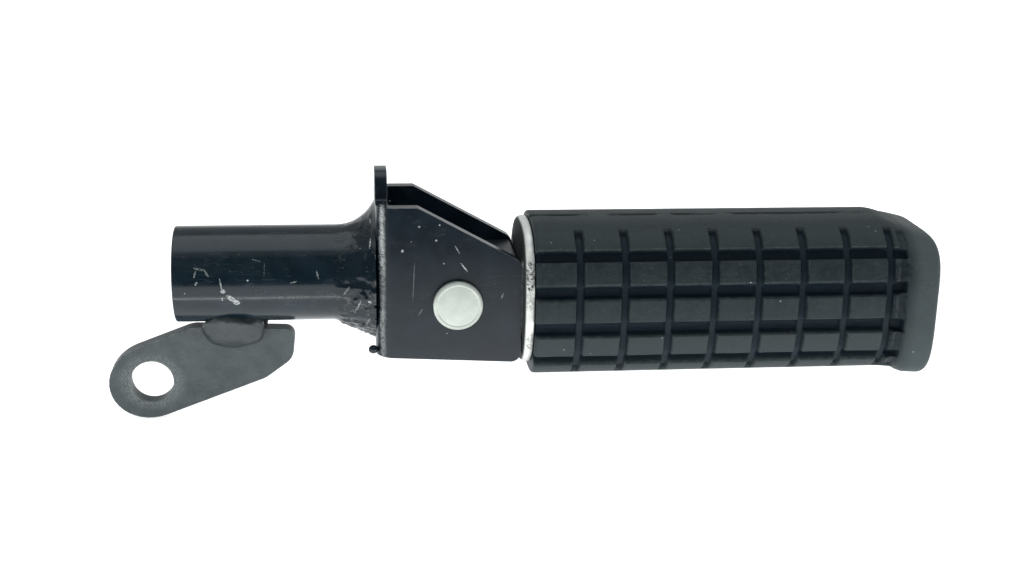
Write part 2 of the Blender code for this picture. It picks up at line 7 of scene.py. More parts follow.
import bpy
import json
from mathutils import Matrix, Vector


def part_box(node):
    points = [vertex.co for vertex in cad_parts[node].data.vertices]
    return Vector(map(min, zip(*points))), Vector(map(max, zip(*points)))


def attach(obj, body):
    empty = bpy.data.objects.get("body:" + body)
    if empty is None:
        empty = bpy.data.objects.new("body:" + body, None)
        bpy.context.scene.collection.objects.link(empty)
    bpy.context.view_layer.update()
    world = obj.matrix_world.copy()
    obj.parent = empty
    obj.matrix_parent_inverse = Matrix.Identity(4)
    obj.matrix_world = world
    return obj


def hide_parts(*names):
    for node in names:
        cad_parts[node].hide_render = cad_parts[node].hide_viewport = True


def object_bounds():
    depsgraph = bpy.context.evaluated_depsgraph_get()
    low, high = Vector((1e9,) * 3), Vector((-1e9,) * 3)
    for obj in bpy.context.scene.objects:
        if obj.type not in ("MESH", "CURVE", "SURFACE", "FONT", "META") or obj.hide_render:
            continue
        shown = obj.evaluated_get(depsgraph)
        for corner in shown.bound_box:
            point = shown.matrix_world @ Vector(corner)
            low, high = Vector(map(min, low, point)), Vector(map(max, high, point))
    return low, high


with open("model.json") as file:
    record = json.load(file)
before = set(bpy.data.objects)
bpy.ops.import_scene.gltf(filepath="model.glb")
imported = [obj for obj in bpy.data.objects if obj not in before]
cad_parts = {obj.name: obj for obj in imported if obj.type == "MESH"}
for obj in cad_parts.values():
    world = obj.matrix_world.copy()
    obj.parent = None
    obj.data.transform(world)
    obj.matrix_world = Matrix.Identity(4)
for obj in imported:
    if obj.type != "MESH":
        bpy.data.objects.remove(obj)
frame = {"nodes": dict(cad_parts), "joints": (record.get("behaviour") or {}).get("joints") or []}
cad_box = [list(corner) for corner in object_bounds()]

import json
import math

import bmesh
import bpy
from mathutils import Matrix, Vector, noise

MM = 0.001
hinge = frame["joints"][0]
pivot = Vector(hinge["pos_m"]) / MM
print("nodes:", len(frame["nodes"]), "hinge at", [round(v, 2) for v in pivot], "mm")


# %% [markdown]
# Sizes are read from the CAD nodes' boxes, so a piece always sits where the CAD says. Everything is
# worked out in millimetres, because that is how a maker thinks of a bracket, and turned to metres once.

# %% Sizes of a CAD node in millimetres
def node_box(name):
    """Lowest and highest corner of a CAD node, in millimetres."""
    low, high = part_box(name)
    return Vector(low) / MM, Vector(high) / MM


tube_high = node_box("mount_tube")[1]
TUBE_RADIUS = tube_high.z
TUBE_END = tube_high.x
print("tube radius", round(TUBE_RADIUS, 2), "length", round(TUBE_END, 2))


# %% [markdown]
# ## The camera
# The object is seen from in front, a little from the left and from above, with a medium lens. The
# camera's matrix is built from three angles, which is easier to check than a list of nine numbers.

# %% Camera
def make_camera(place, turn, height, roll, lens):
    """A camera that looks back along the direction given by turn and height, in degrees."""
    a = math.radians(turn)
    e = math.radians(height)
    r = math.radians(roll)
    right = Vector((math.cos(a), math.sin(a), 0.0))
    back = Vector((math.sin(a) * math.cos(e), -math.cos(a) * math.cos(e), math.sin(e)))
    up = back.cross(right)
    turned_right = right * math.cos(r) + up * math.sin(r)
    turned_up = up * math.cos(r) - right * math.sin(r)
    data = bpy.data.cameras.new("studio_camera")
    data.lens = lens
    data.sensor_width = 36.0
    data.clip_start = 0.01
    camera = bpy.data.objects.new("studio_camera", data)
    bpy.context.scene.collection.objects.link(camera)
    turned = Matrix((turned_right, turned_up, back)).transposed().to_4x4()
    camera.matrix_world = Matrix.Translation(place) @ turned
    bpy.context.scene.camera = camera
    return camera


make_camera(place=Vector((0.04495, -0.37716, 0.11204)), turn=-6.7, height=17.18, roll=1.1, lens=51.40)
print("camera ready")


# %% [markdown]
# ## Sums on node sockets
# A finish is mostly arithmetic: a mask times a noise, one minus an edge. A small class wraps a socket
# and gives it the usual operators, so a formula reads as a formula and adds its own Math nodes. The
# same class serves shader trees and geometry trees, since both use the same Math node.

# %% Sockets that add and multiply
class Value:
    """A node's output that takes part in sums as a plain number would."""

    def __init__(self, bench, socket):
        self.bench = bench
        self.socket = socket

    def maths(self, operation, *values):
        return self.bench.node("ShaderNodeMath", {"operation": operation}, dict(enumerate(values)))

    def __add__(self, other):
        return self.maths("ADD", self, other)

    def __sub__(self, other):
        return self.maths("SUBTRACT", self, other)

    def __rsub__(self, other):
        return self.maths("SUBTRACT", other, self)

    def __mul__(self, other):
        return self.maths("MULTIPLY", self, other)

    def __truediv__(self, other):
        return self.maths("DIVIDE", self, other)

    def __rtruediv__(self, other):
        return self.maths("DIVIDE", other, self)

    __radd__ = __add__
    __rmul__ = __mul__

    def most(self, other):
        return self.maths("MAXIMUM", self, other)

    def size(self):
        return self.maths("ABSOLUTE", self)

    def wrapped(self, length):
        return self.maths("FLOORED_MODULO", self, length)

    def ramp(self, low, high):
        """0 below low and 1 above high, with a soft step; low above high gives the falling step."""
        values = {"Value": self, "From Min": low, "From Max": high}
        return self.bench.node("ShaderNodeMapRange", {"interpolation_type": "SMOOTHSTEP"}, values)


print("sums ready")


# %% [markdown]
# ## The bench
# Every tree is put together in the same three moves: add a node, set it up, then feed its sockets with
# numbers or with other nodes' outputs. The bench does all three in one call, so no node is half wired.

# %% A bench where trees are put together
class Bench:
    """Adds nodes to one tree: a type, its settings, then the values or links of its sockets."""

    def __init__(self, tree):
        self.tree = tree

    def node(self, kind, settings, values, output=0):
        made = self.tree.nodes.new(kind)
        for key, value in settings.items():
            setattr(made, key, value)
        for key, value in values.items():
            self.feed(made.inputs[key], value)
        return Value(self, made.outputs[output])

    def feed(self, socket, value):
        if isinstance(value, Value):
            self.tree.links.new(value.socket, socket)
        else:
            socket.default_value = value


print("bench ready")


# %% [markdown]
# ## Finishes
# A `Finish` is one material. It knows the patterns that wear and casting leave: a cloudy noise, long
# scratches, scattered specks and single marks at a known place on the piece. Numbers that are the same
# all over the surface go straight on the shader's own sockets.

# %% The finish class
class Finish(Bench):
    """One material, with the patterns that its surface shows."""

    def __init__(self, name, **same_everywhere):
        self.material = bpy.data.materials.new(name)
        self.material.use_nodes = True
        super().__init__(self.material.node_tree)
        self.shader = self.tree.nodes["Principled BSDF"]
        for key, value in same_everywhere.items():
            self.shader.inputs[key.replace("_", " ")].default_value = value
        self.place = self.node("ShaderNodeTexCoord", {}, {}, "Object")
        self.way = self.node("ShaderNodeNewGeometry", {}, {}, "Normal")

    def stretched(self, stretch, turn=(0.0, 0.0, 0.0)):
        values = {"Vector": self.place, "Rotation": [math.radians(v) for v in turn], "Scale": stretch}
        return self.node("ShaderNodeMapping", {"vector_type": "POINT"}, values)

    def cloud(self, grain_mm, detail=3.0, rough=0.55, stretch=(1.0, 1.0, 1.0), turn=(0.0, 0.0, 0.0)):
        """Soft noise between 0 and 1 whose patches are about grain_mm across."""
        values = {"Vector": self.stretched(stretch, turn), "Scale": 1.0 / (grain_mm * MM),
                  "Detail": detail, "Roughness": rough}
        return self.node("ShaderNodeTexNoise", {}, values)

    def scratches(self, grain_mm, length, turn, amount):
        """Thin long lines: the crest of a noise pulled out along one direction."""
        crest = (self.cloud(grain_mm, 2.0, 0.5, (1.0 / length, 1.0, 1.0), turn) - 0.5).size()
        patch = self.cloud(grain_mm * 9.0, 2.0, 0.5, (1.0, 1.0, 1.0), turn)
        return crest.ramp(0.012, 0.002) * patch.ramp(0.62 - amount, 0.72 - amount)

    def specks(self, grain_mm, size):
        """Scattered round specks; size is the share of the cell that a speck fills."""
        values = {"Vector": self.stretched((1.0, 1.0, 1.0)), "Scale": 1.0 / (grain_mm * MM)}
        return self.node("ShaderNodeTexVoronoi", {}, values).ramp(size, size * 0.45)

    def mark(self, centre, half, turn):
        """A single soft-edged mark at centre, with half sizes in mm, turned about the Y axis."""
        values = {"Vector": self.place, "Location": [v * MM for v in centre],
                  "Rotation": (0.0, math.radians(turn), 0.0), "Scale": [v * MM for v in half]}
        local = self.node("ShaderNodeMapping", {"vector_type": "TEXTURE"}, values)
        length = self.node("ShaderNodeVectorMath", {"operation": "LENGTH"}, {0: local}, 1)
        return length.ramp(1.0, 0.75)

    def axis_part(self, index, vector=None):
        return self.node("ShaderNodeSeparateXYZ", {}, {0: vector or self.place}, index)

    def tint(self, share, first, second):
        """A colour part of the way from first to second."""
        settings = {"data_type": "RGBA", "clamp_factor": True}
        pair = [value if isinstance(value, Value) else (*value, 1.0) for value in (first, second)]
        return self.node("ShaderNodeMix", settings, {0: share, 6: pair[0], 7: pair[1]}, 2)

    def attribute(self, name):
        """A number that the piece's own mesh carries."""
        return self.node("ShaderNodeAttribute", {"attribute_name": name}, {}, "Fac")

    def relief(self, height, depth_mm):
        values = {"Height": height, "Distance": depth_mm * MM, "Strength": 1.0}
        return self.node("ShaderNodeBump", {}, values)

    def wear(self, **changing):
        """Feed the sockets that change over the surface."""
        for key, value in changing.items():
            self.feed(self.shader.inputs[key.replace("_", " ")], value)
        return self.material


print("finish class ready")


# %% [markdown]
# ### Gloss black paint
# The tube, the bracket and the weld between them were painted black after welding. The paint is thin
# and shiny: it takes its brightness from what it mirrors. Handling has left hair scratches and a few
# chips where bright steel shows. Along the bend in front the paint is rubbed to metal under a painted
# highlight. Wear is mixed in from these masks and from `broken_edge`, a number that is 1 on the eased
# edges of a sheet piece, where worn paint is mixed with a painted edge highlight. On the weld the marks
# are painted glints.

# %% Gloss paint
def gloss_paint(name, base, gloss, marks=(), edge_wear_and_highlight=0.0, scratch_gain=0.15, orange=0.02, bend=None):
    """Worn black paint; marks are (centre, half sizes, turn, strength), bend is (low x, high x) of a painted
    highlight over worn paint.
    """
    paint = Finish(name, IOR=1.5)
    cloudy = paint.cloud(7.0, 4.0)
    fine = paint.cloud(0.35, 2.0)
    hair = paint.scratches(0.9, 14.0, (0.0, 0.0, 18.0), 0.10)
    hair = hair.most(paint.scratches(0.7, 12.0, (0.0, 62.0, 0.0), 0.06))
    # Broken edges: paint worn there, mixed with a painted edge highlight, scaled by the edge gain.
    edge = paint.attribute("broken_edge") * (paint.cloud(1.6, 4.0).ramp(0.30, 0.62) * 0.8 + 0.2) * edge_wear_and_highlight
    chips = paint.specks(5.5, 0.055) * paint.cloud(0.5, 2.0).ramp(0.35, 0.5)
    bare_metal_and_highlight = edge.most(chips)
    # Each mark lightens the paint to bright steel; on the weld the marks are painted glints.
    for centre, half, turn, strength in marks:
        rough_edge = paint.mark(centre, half, turn) * paint.cloud(0.3, 3.0, 0.7).ramp(0.40, 0.56)
        bare_metal_and_highlight = bare_metal_and_highlight.most(rough_edge * strength)
    # Painted highlight along the bend, laid over paint worn to metal there, brighter towards the top.
    if bend is not None:
        x = paint.axis_part(0) / MM + (paint.cloud(1.0, 4.0) - 0.5) * 1.3
        strip = x.ramp(bend[0] - 0.4, bend[0] + 0.4) * x.ramp(bend[1] + 0.6, bend[1] - 0.4)
        in_front = (paint.axis_part(1) / MM).ramp(-9.0, -10.5)
        highlight_brighter_above = (paint.axis_part(2) / MM).ramp(-16.0, 8.0) * 0.45 + 0.45
        speckled = paint.cloud(0.5, 3.0).ramp(0.30, 0.60) * 0.75 + 0.05
        bare_metal_and_highlight = bare_metal_and_highlight.most(strip * in_front * speckled * highlight_brighter_above)
    lighter = tuple(value * 1.5 + 0.003 for value in base)
    colour = paint.tint(cloudy.ramp(0.3, 0.75), base, lighter)
    colour = paint.tint(hair * scratch_gain, colour, (0.16, 0.18, 0.19))
    # Bright steel from chips, worn edges and marks, mixed with painted highlights on the edges and along the
    # bend and with painted glints on the weld.
    colour = paint.tint(bare_metal_and_highlight, colour, (0.62, 0.66, 0.65))
    rough = gloss + cloudy * 0.10 + fine * 0.05 + hair * 0.25 + bare_metal_and_highlight * 0.15
    height = cloudy * 0.5 + fine * 0.25 - hair * 0.4 - bare_metal_and_highlight * 1.0
    paint.wear(Base_Color=colour, Roughness=rough, Metallic=bare_metal_and_highlight * 0.35, Normal=paint.relief(height, orange))
    return paint.material


print("paint recipe ready")


# %% [markdown]
# ### Phosphated steel
# The flat locating arm is duller: a satin coat over rolled steel, lighter than the paint, with a rub
# around its eye where the bolt's washer sat.

# %% Satin steel
def satin_steel(name, base, light, rubs=(), rough_base=0.42):
    """Satin dark steel; rubs are (centre, half sizes, turn, strength)."""
    steel = Finish(name, IOR=1.6)
    cloudy = steel.cloud(4.0, 5.0)
    grain = steel.cloud(0.35, 4.0, 0.7)
    lines = steel.scratches(0.6, 10.0, (0.0, 25.0, 0.0), 0.14)
    rubbed = steel.attribute("broken_edge") * steel.cloud(1.4, 4.0).ramp(0.30, 0.65) * 0.35
    for centre, half, turn, strength in rubs:
        rubbed = rubbed.most(steel.mark(centre, half, turn) * grain.ramp(0.4, 0.55) * strength)
    glitter = tuple(value * 2.2 for value in light)
    colour = steel.tint(cloudy.ramp(0.3, 0.7), base, light)
    colour = steel.tint(grain.ramp(0.50, 0.72) * 0.35, colour, glitter)
    colour = steel.tint(lines * 0.3, colour, (0.25, 0.27, 0.27))
    colour = steel.tint(rubbed, colour, (0.42, 0.45, 0.45))
    rough = rough_base + cloudy * 0.15 - rubbed * 0.12
    height = cloudy * 0.5 + grain * 0.35 - lines * 0.3
    steel.wear(Base_Color=colour, Roughness=rough, Metallic=rubbed * 0.6, Normal=steel.relief(height, 0.05))
    return steel.material


print("steel recipe ready")


# %% [markdown]
# ### Zinc plate
# The pin, its washer and the stop plate are bright zinc: a near-white metal with a fine matt grain,
# smudged grey where grease has dried, and dirty in patches on the plate. `dark_face` is the height
# below which the plate's face toward the ears is darkened by painted shade, the black ears mirrored in it.

# %% Bright zinc
def zinc(name, base, dull, dirt=(), rough_base=0.34, dirt_everywhere=0.15, dark_face=None):
    """Bright zinc; dirt marks are (centre, half sizes, turn, strength)."""
    plate = Finish(name)
    cloudy = plate.cloud(3.0, 5.0)
    grain = plate.cloud(0.12, 2.0)
    lines = plate.scratches(0.5, 9.0, (0.0, 0.0, 40.0), 0.10)
    dirt_and_painted_shade = plate.cloud(1.6, 5.0, 0.65).ramp(0.60, 0.72) * dirt_everywhere
    for centre, half, turn, strength in dirt:
        speckle = plate.cloud(0.7, 4.0, 0.7).ramp(0.42, 0.60)
        dirt_and_painted_shade = dirt_and_painted_shade.most(plate.mark(centre, half, turn) * speckle * strength)
    # Painted shade: below dark_face, the face toward the ears is darkened to stand for the black ears
    # mirrored in it.
    if dark_face is not None:
        facing = plate.axis_part(0, plate.way).ramp(-0.55, -0.85)
        below = (plate.axis_part(2) / MM + cloudy * 3.0).ramp(dark_face + 1.5, dark_face - 1.5)
        dirt_and_painted_shade = dirt_and_painted_shade.most(facing * below)
    colour = plate.tint(cloudy.ramp(0.35, 0.7), base, dull)
    colour = plate.tint(lines * 0.35, colour, (0.35, 0.36, 0.36))
    # Dark from dirt, and from painted shade on the face toward the ears.
    colour = plate.tint(dirt_and_painted_shade, colour, (0.020, 0.026, 0.028))
    rough = rough_base + cloudy * 0.18 + dirt_and_painted_shade * 0.3
    metal = 0.45 - dirt_and_painted_shade * 0.4
    height = grain * 0.4 + cloudy * 0.4 - lines * 0.4
    plate.wear(Base_Color=colour, Roughness=rough, Metallic=metal, Normal=plate.relief(height, 0.03))
    return plate.material


print("zinc recipe ready")


# %% [markdown]
# ### Moulded rubber
# The sleeve is black rubber with specks of dust and scuffs on its crests. The grooves carry painted
# shade, almost black, so the finish reads `sunk`, a number that the groove recipe below leaves on
# every point: 0 on top of a block and 1 on the floor of a groove; the upper part of each groove wall
# carries a painted light strip. `seam` marks the mould's parting line. The lower rows carry painted
# light from the floor below and the pad painted light from above; the end lip is lighter, with painted
# light from above on its top, and the narrow last column is darkened by painted shade.

# %% Dusty rubber
def dusty_rubber_and_painted_light():
    rubber = Finish("dusty_black_rubber", IOR=1.38)
    sunk = rubber.attribute("sunk")
    seam = rubber.attribute("seam")
    cloudy = rubber.cloud(6.0, 5.0)
    patchy = rubber.cloud(1.3, 4.0)
    grain = rubber.cloud(0.16, 3.0, 0.6)
    scuffs = rubber.scratches(0.5, 7.0, (0.0, 35.0, 0.0), 0.16)
    scuffs = scuffs.most(rubber.scratches(0.6, 6.0, (0.0, -50.0, 0.0), 0.12))
    # Upper part of each groove wall, in patches, where a painted light strip goes.
    rim = sunk.ramp(0.01, 0.10) * sunk.ramp(0.45, 0.15) * patchy.ramp(0.3, 0.62)
    dust = rubber.specks(3.4, 0.05) * patchy.ramp(0.42, 0.5)
    dust = dust.most(rubber.specks(1.5, 0.05) * patchy.ramp(0.60, 0.66) * 0.6)
    crest = 1.0 - sunk
    along = rubber.axis_part(0) / MM
    up = rubber.axis_part(2) / MM - MIDDLE_Z
    lip = along.ramp(LIP_START - 0.5, LIP_START + 4.0)
    narrow = along.ramp(GROOVE_LAST + 0.4, GROOVE_LAST + 1.4) * along.ramp(LIP_START + 0.6, LIP_START - 0.6)
    colour = rubber.tint(cloudy.ramp(0.3, 0.7), (0.008, 0.017, 0.021), (0.015, 0.026, 0.030))
    colour = rubber.tint(patchy.ramp(0.35, 0.8) * 0.3, colour, (0.035, 0.050, 0.055))
    # Painted shade: the grooves darkened almost to black.
    colour = rubber.tint(sunk.ramp(0.1, 0.7) * 0.9, colour, (0.000, 0.010, 0.020))
    # Painted shade in the recessed narrow last column, deeper towards its top.
    colour = rubber.tint(narrow * up.ramp(14.0, 9.0) * 0.75, colour, (0.001, 0.008, 0.014))
    # Painted light from the bright floor below: the crests of the lower rows are lighter.
    colour = rubber.tint(up.ramp(6.0, -10.0) * crest * (1.0 - narrow) * 0.72, colour, (0.030, 0.043, 0.047))
    # Painted light from above: the crests of the top pad are lighter.
    colour = rubber.tint(up.ramp(11.5, 16.0) * crest * 0.38, colour, (0.040, 0.054, 0.056))
    # The end lip is lighter, in patches.
    colour = rubber.tint(lip * (patchy * 0.4 + 0.6), colour, (0.052, 0.069, 0.073))
    # Painted light from above on the top of the end lip.
    colour = rubber.tint(lip * up.ramp(6.0, 16.0) * 0.5, colour, (0.095, 0.110, 0.110))
    # Painted light: a lighter strip on the upper part of each groove wall.
    colour = rubber.tint(rim * 0.3, colour, (0.10, 0.12, 0.12))
    colour = rubber.tint(scuffs * crest * 0.3, colour, (0.11, 0.13, 0.14))
    colour = rubber.tint(seam, colour, (0.003, 0.006, 0.008))
    colour = rubber.tint(dust * crest, colour, (0.75, 0.78, 0.78))
    rough = 0.50 + cloudy * 0.12 + sunk * 0.15 - scuffs * 0.1
    height = grain * 0.45 + patchy * 0.5 - scuffs * 0.5
    rubber.wear(Base_Color=colour, Roughness=rough, Normal=rubber.relief(height, 0.06))
    return rubber.material


print("rubber recipe ready")


# %% [markdown]
# ## Making meshes
# Most pieces are either turned on a lathe or cut from sheet. `solid` builds any closed mesh from
# rings of points, `turned` spins a profile, and `eased_copy` takes the CAD solid of a sheet piece,
# joins its loose triangles into real faces and breaks the sharp edges as a file or tumbling would. The
# new faces along an edge carry `broken_edge`, so that paint can be thin there.

# %% Mesh helpers
def placed(name, mesh, material, smooth_angle=38.0):
    """Put a finished mesh in the scene as an object at the origin."""
    for polygon in mesh.polygons:
        polygon.use_smooth = True
    mesh.set_sharp_from_angle(angle=math.radians(smooth_angle))
    item = bpy.data.objects.new(name, mesh)
    bpy.context.scene.collection.objects.link(item)
    mesh.materials.clear()
    mesh.materials.append(material)
    return item


def closed_grid(work, rows):
    """Faces between rings of vertices, each ring joined to the next."""
    for low, high in rows:
        for index in range(len(low)):
            other = (index + 1) % len(low)
            work.faces.new((low[index], low[other], high[other], high[index]))


def solid(name, rings, material, start_pole=None, end_pole=None, loop=False, smooth_angle=38.0):
    """Closed skin through rings of points in mm; an end is closed by a pole, or the rings loop round."""
    work = bmesh.new()
    rows = [[work.verts.new(Vector(point) * MM) for point in ring] for ring in rings]
    count = len(rings[0])
    pairs = list(zip(rows, rows[1:]))
    if loop:
        pairs.append((rows[-1], rows[0]))
    closed_grid(work, pairs)
    for pole, row in ((start_pole, rows[0]), (end_pole, rows[-1])):
        if pole is not None:
            tip = work.verts.new(Vector(pole) * MM)
            for index in range(count):
                work.faces.new((row[index], row[(index + 1) % count], tip))
    bmesh.ops.remove_doubles(work, verts=work.verts, dist=1e-7)
    bmesh.ops.recalc_face_normals(work, faces=work.faces)
    mesh = bpy.data.meshes.new(name)
    work.to_mesh(mesh)
    work.free()
    return placed(name, mesh, material, smooth_angle)


def ring_about(axis, centre, along, radius, steps):
    """Circle of points about the X or Y axis through centre."""
    points = []
    for index in range(steps):
        angle = 2.0 * math.pi * index / steps
        a = radius * math.cos(angle)
        b = radius * math.sin(angle)
        offset = Vector((along, a, b)) if axis == "X" else Vector((b, along, a))
        points.append(Vector(centre) + offset)
    return points


def turned(name, profile, axis, centre, material, steps=128, loop=False, smooth_angle=30.0):
    """Spin (along, radius) points about an axis; without loop both ends close on the axis."""
    rings = [ring_about(axis, centre, along, radius, steps) for along, radius in profile]
    way = Vector((1.0, 0.0, 0.0)) if axis == "X" else Vector((0.0, 1.0, 0.0))
    start = None if loop else Vector(centre) + way * profile[0][0]
    end = None if loop else Vector(centre) + way * profile[-1][0]
    return solid(name, rings, material, start, end, loop, smooth_angle)


BROKEN_SLOT = 1


def eased_copy(node, name, material, edge_mm, segments=3, limit=42.0):
    """A copy of a CAD solid with real faces and softly broken edges."""
    work = bmesh.new()
    work.from_mesh(frame["nodes"][node].data)
    bmesh.ops.remove_doubles(work, verts=work.verts, dist=2e-6)
    bmesh.ops.dissolve_limit(work, angle_limit=math.radians(1.2), verts=work.verts, edges=work.edges)
    mesh = bpy.data.meshes.new(name)
    work.to_mesh(mesh)
    work.free()
    rough_out = placed(name + "_blank", mesh, material)
    easing = rough_out.modifiers.new("eased_edges", "BEVEL")
    easing.width = edge_mm * MM
    easing.segments = segments
    easing.limit_method = "ANGLE"
    easing.angle_limit = math.radians(limit)
    easing.harden_normals = True
    easing.material = BROKEN_SLOT
    mesh.materials.append(material)
    ready = bpy.data.meshes.new_from_object(rough_out.evaluated_get(bpy.context.evaluated_depsgraph_get()))
    ready.name = name
    broken = [float(polygon.material_index == BROKEN_SLOT) for polygon in ready.polygons]
    ready.attributes.new("broken_edge", "FLOAT", "FACE").data.foreach_set("value", broken)
    for polygon in ready.polygons:
        polygon.material_index = 0
    bpy.data.objects.remove(rough_out)
    item = bpy.data.objects.new(name, ready)
    bpy.context.scene.collection.objects.link(item)
    ready.materials.clear()
    ready.materials.append(material)
    return item


def on_body(item, body, nodes):
    """Hang a finished piece on its body and hide the CAD nodes that it stands for."""
    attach(item, body)
    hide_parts(*nodes)
    print(item.name, "faces:", len(item.data.polygons))


print("mesh helpers ready")


# %% [markdown]
# ## The tube
# A plain cut of 1 inch steel tube. It is turned from one profile: outside, a deburred end, the bore and
# back again, which is how a lathe would face and deburr it. The marks are handling damage: a curved
# scratch near the open end, a cluster of chips low on the front, and fine lines beside the weld.

# %% Tube
tube_marks = [
    ((15.0, -12.3, -3.3), (1.7, 1.5, 0.7), 36.0, 0.75),
    ((16.3, -12.1, -4.5), (1.0, 1.5, 0.8), 10.0, 0.95),
    ((12.5, -12.6, 0.6), (0.22, 1.5, 2.0), -10.0, 0.6),
    ((13.0, -12.6, -1.2), (0.7, 1.5, 0.6), 0.0, 0.85),
    ((12.7, -12.4, -3.4), (0.25, 1.5, 0.6), 0.0, 0.6),
    ((7.0, -11.9, 4.6), (1.6, 2.0, 0.30), 12.0, 0.30),
    ((8.9, -12.2, 3.6), (0.30, 2.0, 1.3), -34.0, 0.35),
    ((6.0, -12.2, 3.3), (0.25, 2.0, 1.0), 16.0, 0.45),
    ((6.3, -12.6, 1.0), (0.3, 1.5, 0.6), 30.0, 0.6),
    ((21.6, -10.9, 6.5), (1.3, 2.0, 0.14), 14.0, 0.35),
    ((23.6, -11.9, 4.2), (0.12, 2.0, 2.0), 3.0, 0.22),
    ((31.0, -12.6, 1.0), (0.9, 1.5, 0.20), -12.0, 0.45),
    ((37.2, -12.4, 2.8), (0.25, 1.5, 1.3), -14.0, 0.5),
]
tube_paint = gloss_paint("gloss_black_tube", (0.003, 0.010, 0.016), 0.10, tube_marks, scratch_gain=0.10)
BORE_RADIUS = 9.6
tube_profile = [
    (TUBE_END, BORE_RADIUS), (TUBE_END, TUBE_RADIUS - 0.4), (TUBE_END - 0.4, TUBE_RADIUS),
    (TUBE_END * 0.66, TUBE_RADIUS), (TUBE_END * 0.33, TUBE_RADIUS), (0.45, TUBE_RADIUS),
    (0.2, TUBE_RADIUS - 0.05), (0.06, TUBE_RADIUS - 0.16), (0.0, TUBE_RADIUS - 0.35),
    (0.0, BORE_RADIUS + 0.55), (0.15, BORE_RADIUS + 0.2), (0.5, BORE_RADIUS),
    (TUBE_END * 0.5, BORE_RADIUS),
]
tube = turned("steel_tube", tube_profile, "X", (0.0, 0.0, 0.0), tube_paint, 160, loop=True)
on_body(tube, "bracket", ["mount_tube"])


# %% [markdown]
# ## The weld between tube and bracket
# The fillet flares from the tube out to the web of the bracket. It is smooth above, where the metal ran
# well, and a rough heaped bead below, ending in a drip. The skin is a grid of rings whose radius is a
# smooth flare plus a bead that follows a slanting ridge, with fixed noise for the lumps.

# %% Flared weld
weld_low, weld_high = node_box("tube_weld")
WELD_STEPS_AROUND = 200
WELD_STEPS_ALONG = 34
FLARE_ABOVE = 2.8
FLARE_BELOW = 1.25
ROOT_RADIUS = TUBE_RADIUS * 0.985


def weld_radius(share, angle):
    """Outside radius of the weld at a share of its length and an angle from the rear side."""
    up = math.sin(angle)
    front = math.cos(angle) < 0.0
    inner = TUBE_RADIUS + 0.01
    reach = weld_high.z if up > 0.0 else -weld_low.z + 0.6
    end = 1.0 / math.hypot(math.cos(angle) / (weld_high.y + 0.1), up / reach)
    radius = inner + (end - inner) * share ** (FLARE_ABOVE if up > 0.0 else FLARE_BELOW)
    toward_low = max(0.0, 0.25 - up)
    ridge = 1.02 - 0.95 * min(1.0, toward_low / 0.85)
    heap = max(0.0, min(1.0, (share - ridge) / 0.18)) * min(1.0, toward_low / 0.3)
    heap = heap * heap * (3.0 - 2.0 * heap)
    spot = Vector((share * 8.5, math.cos(angle) * radius, up * radius))
    lumps = noise.noise(spot * 0.55 + Vector((3.0, 0.0, 0.0)))
    fine = noise.noise(spot * 1.7)
    ripple = math.sin(angle * 34.0 + share * 5.0 + lumps * 4.0)
    rough = 0.25 + 0.75 * heap
    near_web = max(0.0, (share - 0.55) / 0.45) if front else 0.0
    rough = rough + 1.1 * near_web * max(0.0, 1.0 - abs(up - 0.35) / 0.9)
    radius += heap * (0.55 if front else 0.35) + rough * (0.42 * lumps + 0.26 * fine) * min(1.0, share * 3.0)
    return radius + 0.10 * ripple * heap


def weld_rings():
    """Two rings sunk in the tube's wall, then the flare from the tube to the web."""
    face = weld_high.x + 0.3
    start = weld_low.x - 2.4
    angles = [2.0 * math.pi * index / WELD_STEPS_AROUND for index in range(WELD_STEPS_AROUND)]
    rings = [[(x, ROOT_RADIUS * math.cos(angle), ROOT_RADIUS * math.sin(angle)) for angle in angles]
             for x in (face, start)]
    for step in range(WELD_STEPS_ALONG + 1):
        share = step / WELD_STEPS_ALONG
        ring = []
        for angle in angles:
            radius = weld_radius(share, angle)
            if step == 0:
                radius = TUBE_RADIUS - 0.1
            ring.append((start + (face - start) * share, radius * math.cos(angle), radius * math.sin(angle)))
        rings.append(ring)
    return rings


# Mostly painted glints: light marks along the ridge of the bead and on the lumps near the web.
weld_glint_marks = [
    ((44.6, -12.8, -1.4), (0.26, 3.0, 1.8), 34.0, 0.28),
    ((47.4, -13.0, -6.0), (0.34, 4.0, 2.6), 24.0, 0.36),
    ((50.0, -12.0, -11.0), (0.34, 4.0, 2.0), 20.0, 0.34),
    ((50.9, -9.0, 15.6), (0.22, 4.0, 1.0), 0.0, 0.8),
    ((50.8, -11.5, 10.6), (0.25, 4.0, 1.4), 8.0, 0.9),
    ((48.2, -12.5, 9.2), (0.6, 3.0, 0.3), -20.0, 0.5),
    ((50.5, -13.5, -4.4), (0.6, 3.0, 0.4), 40.0, 0.7),
]
weld_paint = gloss_paint("gloss_black_weld", (0.003, 0.009, 0.014), 0.10, weld_glint_marks, orange=0.06)
flared_weld = solid("flared_weld", weld_rings(), weld_paint, loop=True, smooth_angle=60.0)
on_body(flared_weld, "bracket", ["tube_weld"])


# %% [markdown]
# ### Weld spatter
# Small beads of metal freeze on the surface beside a weld. Beads repeat, so a geometry recipe scatters
# them: points on the weld's own skin with a fixed seed, a little ball on each, sizes drawn from a
# range, and everything made real at the end. `Recipe` is the geometry twin of `Finish`.

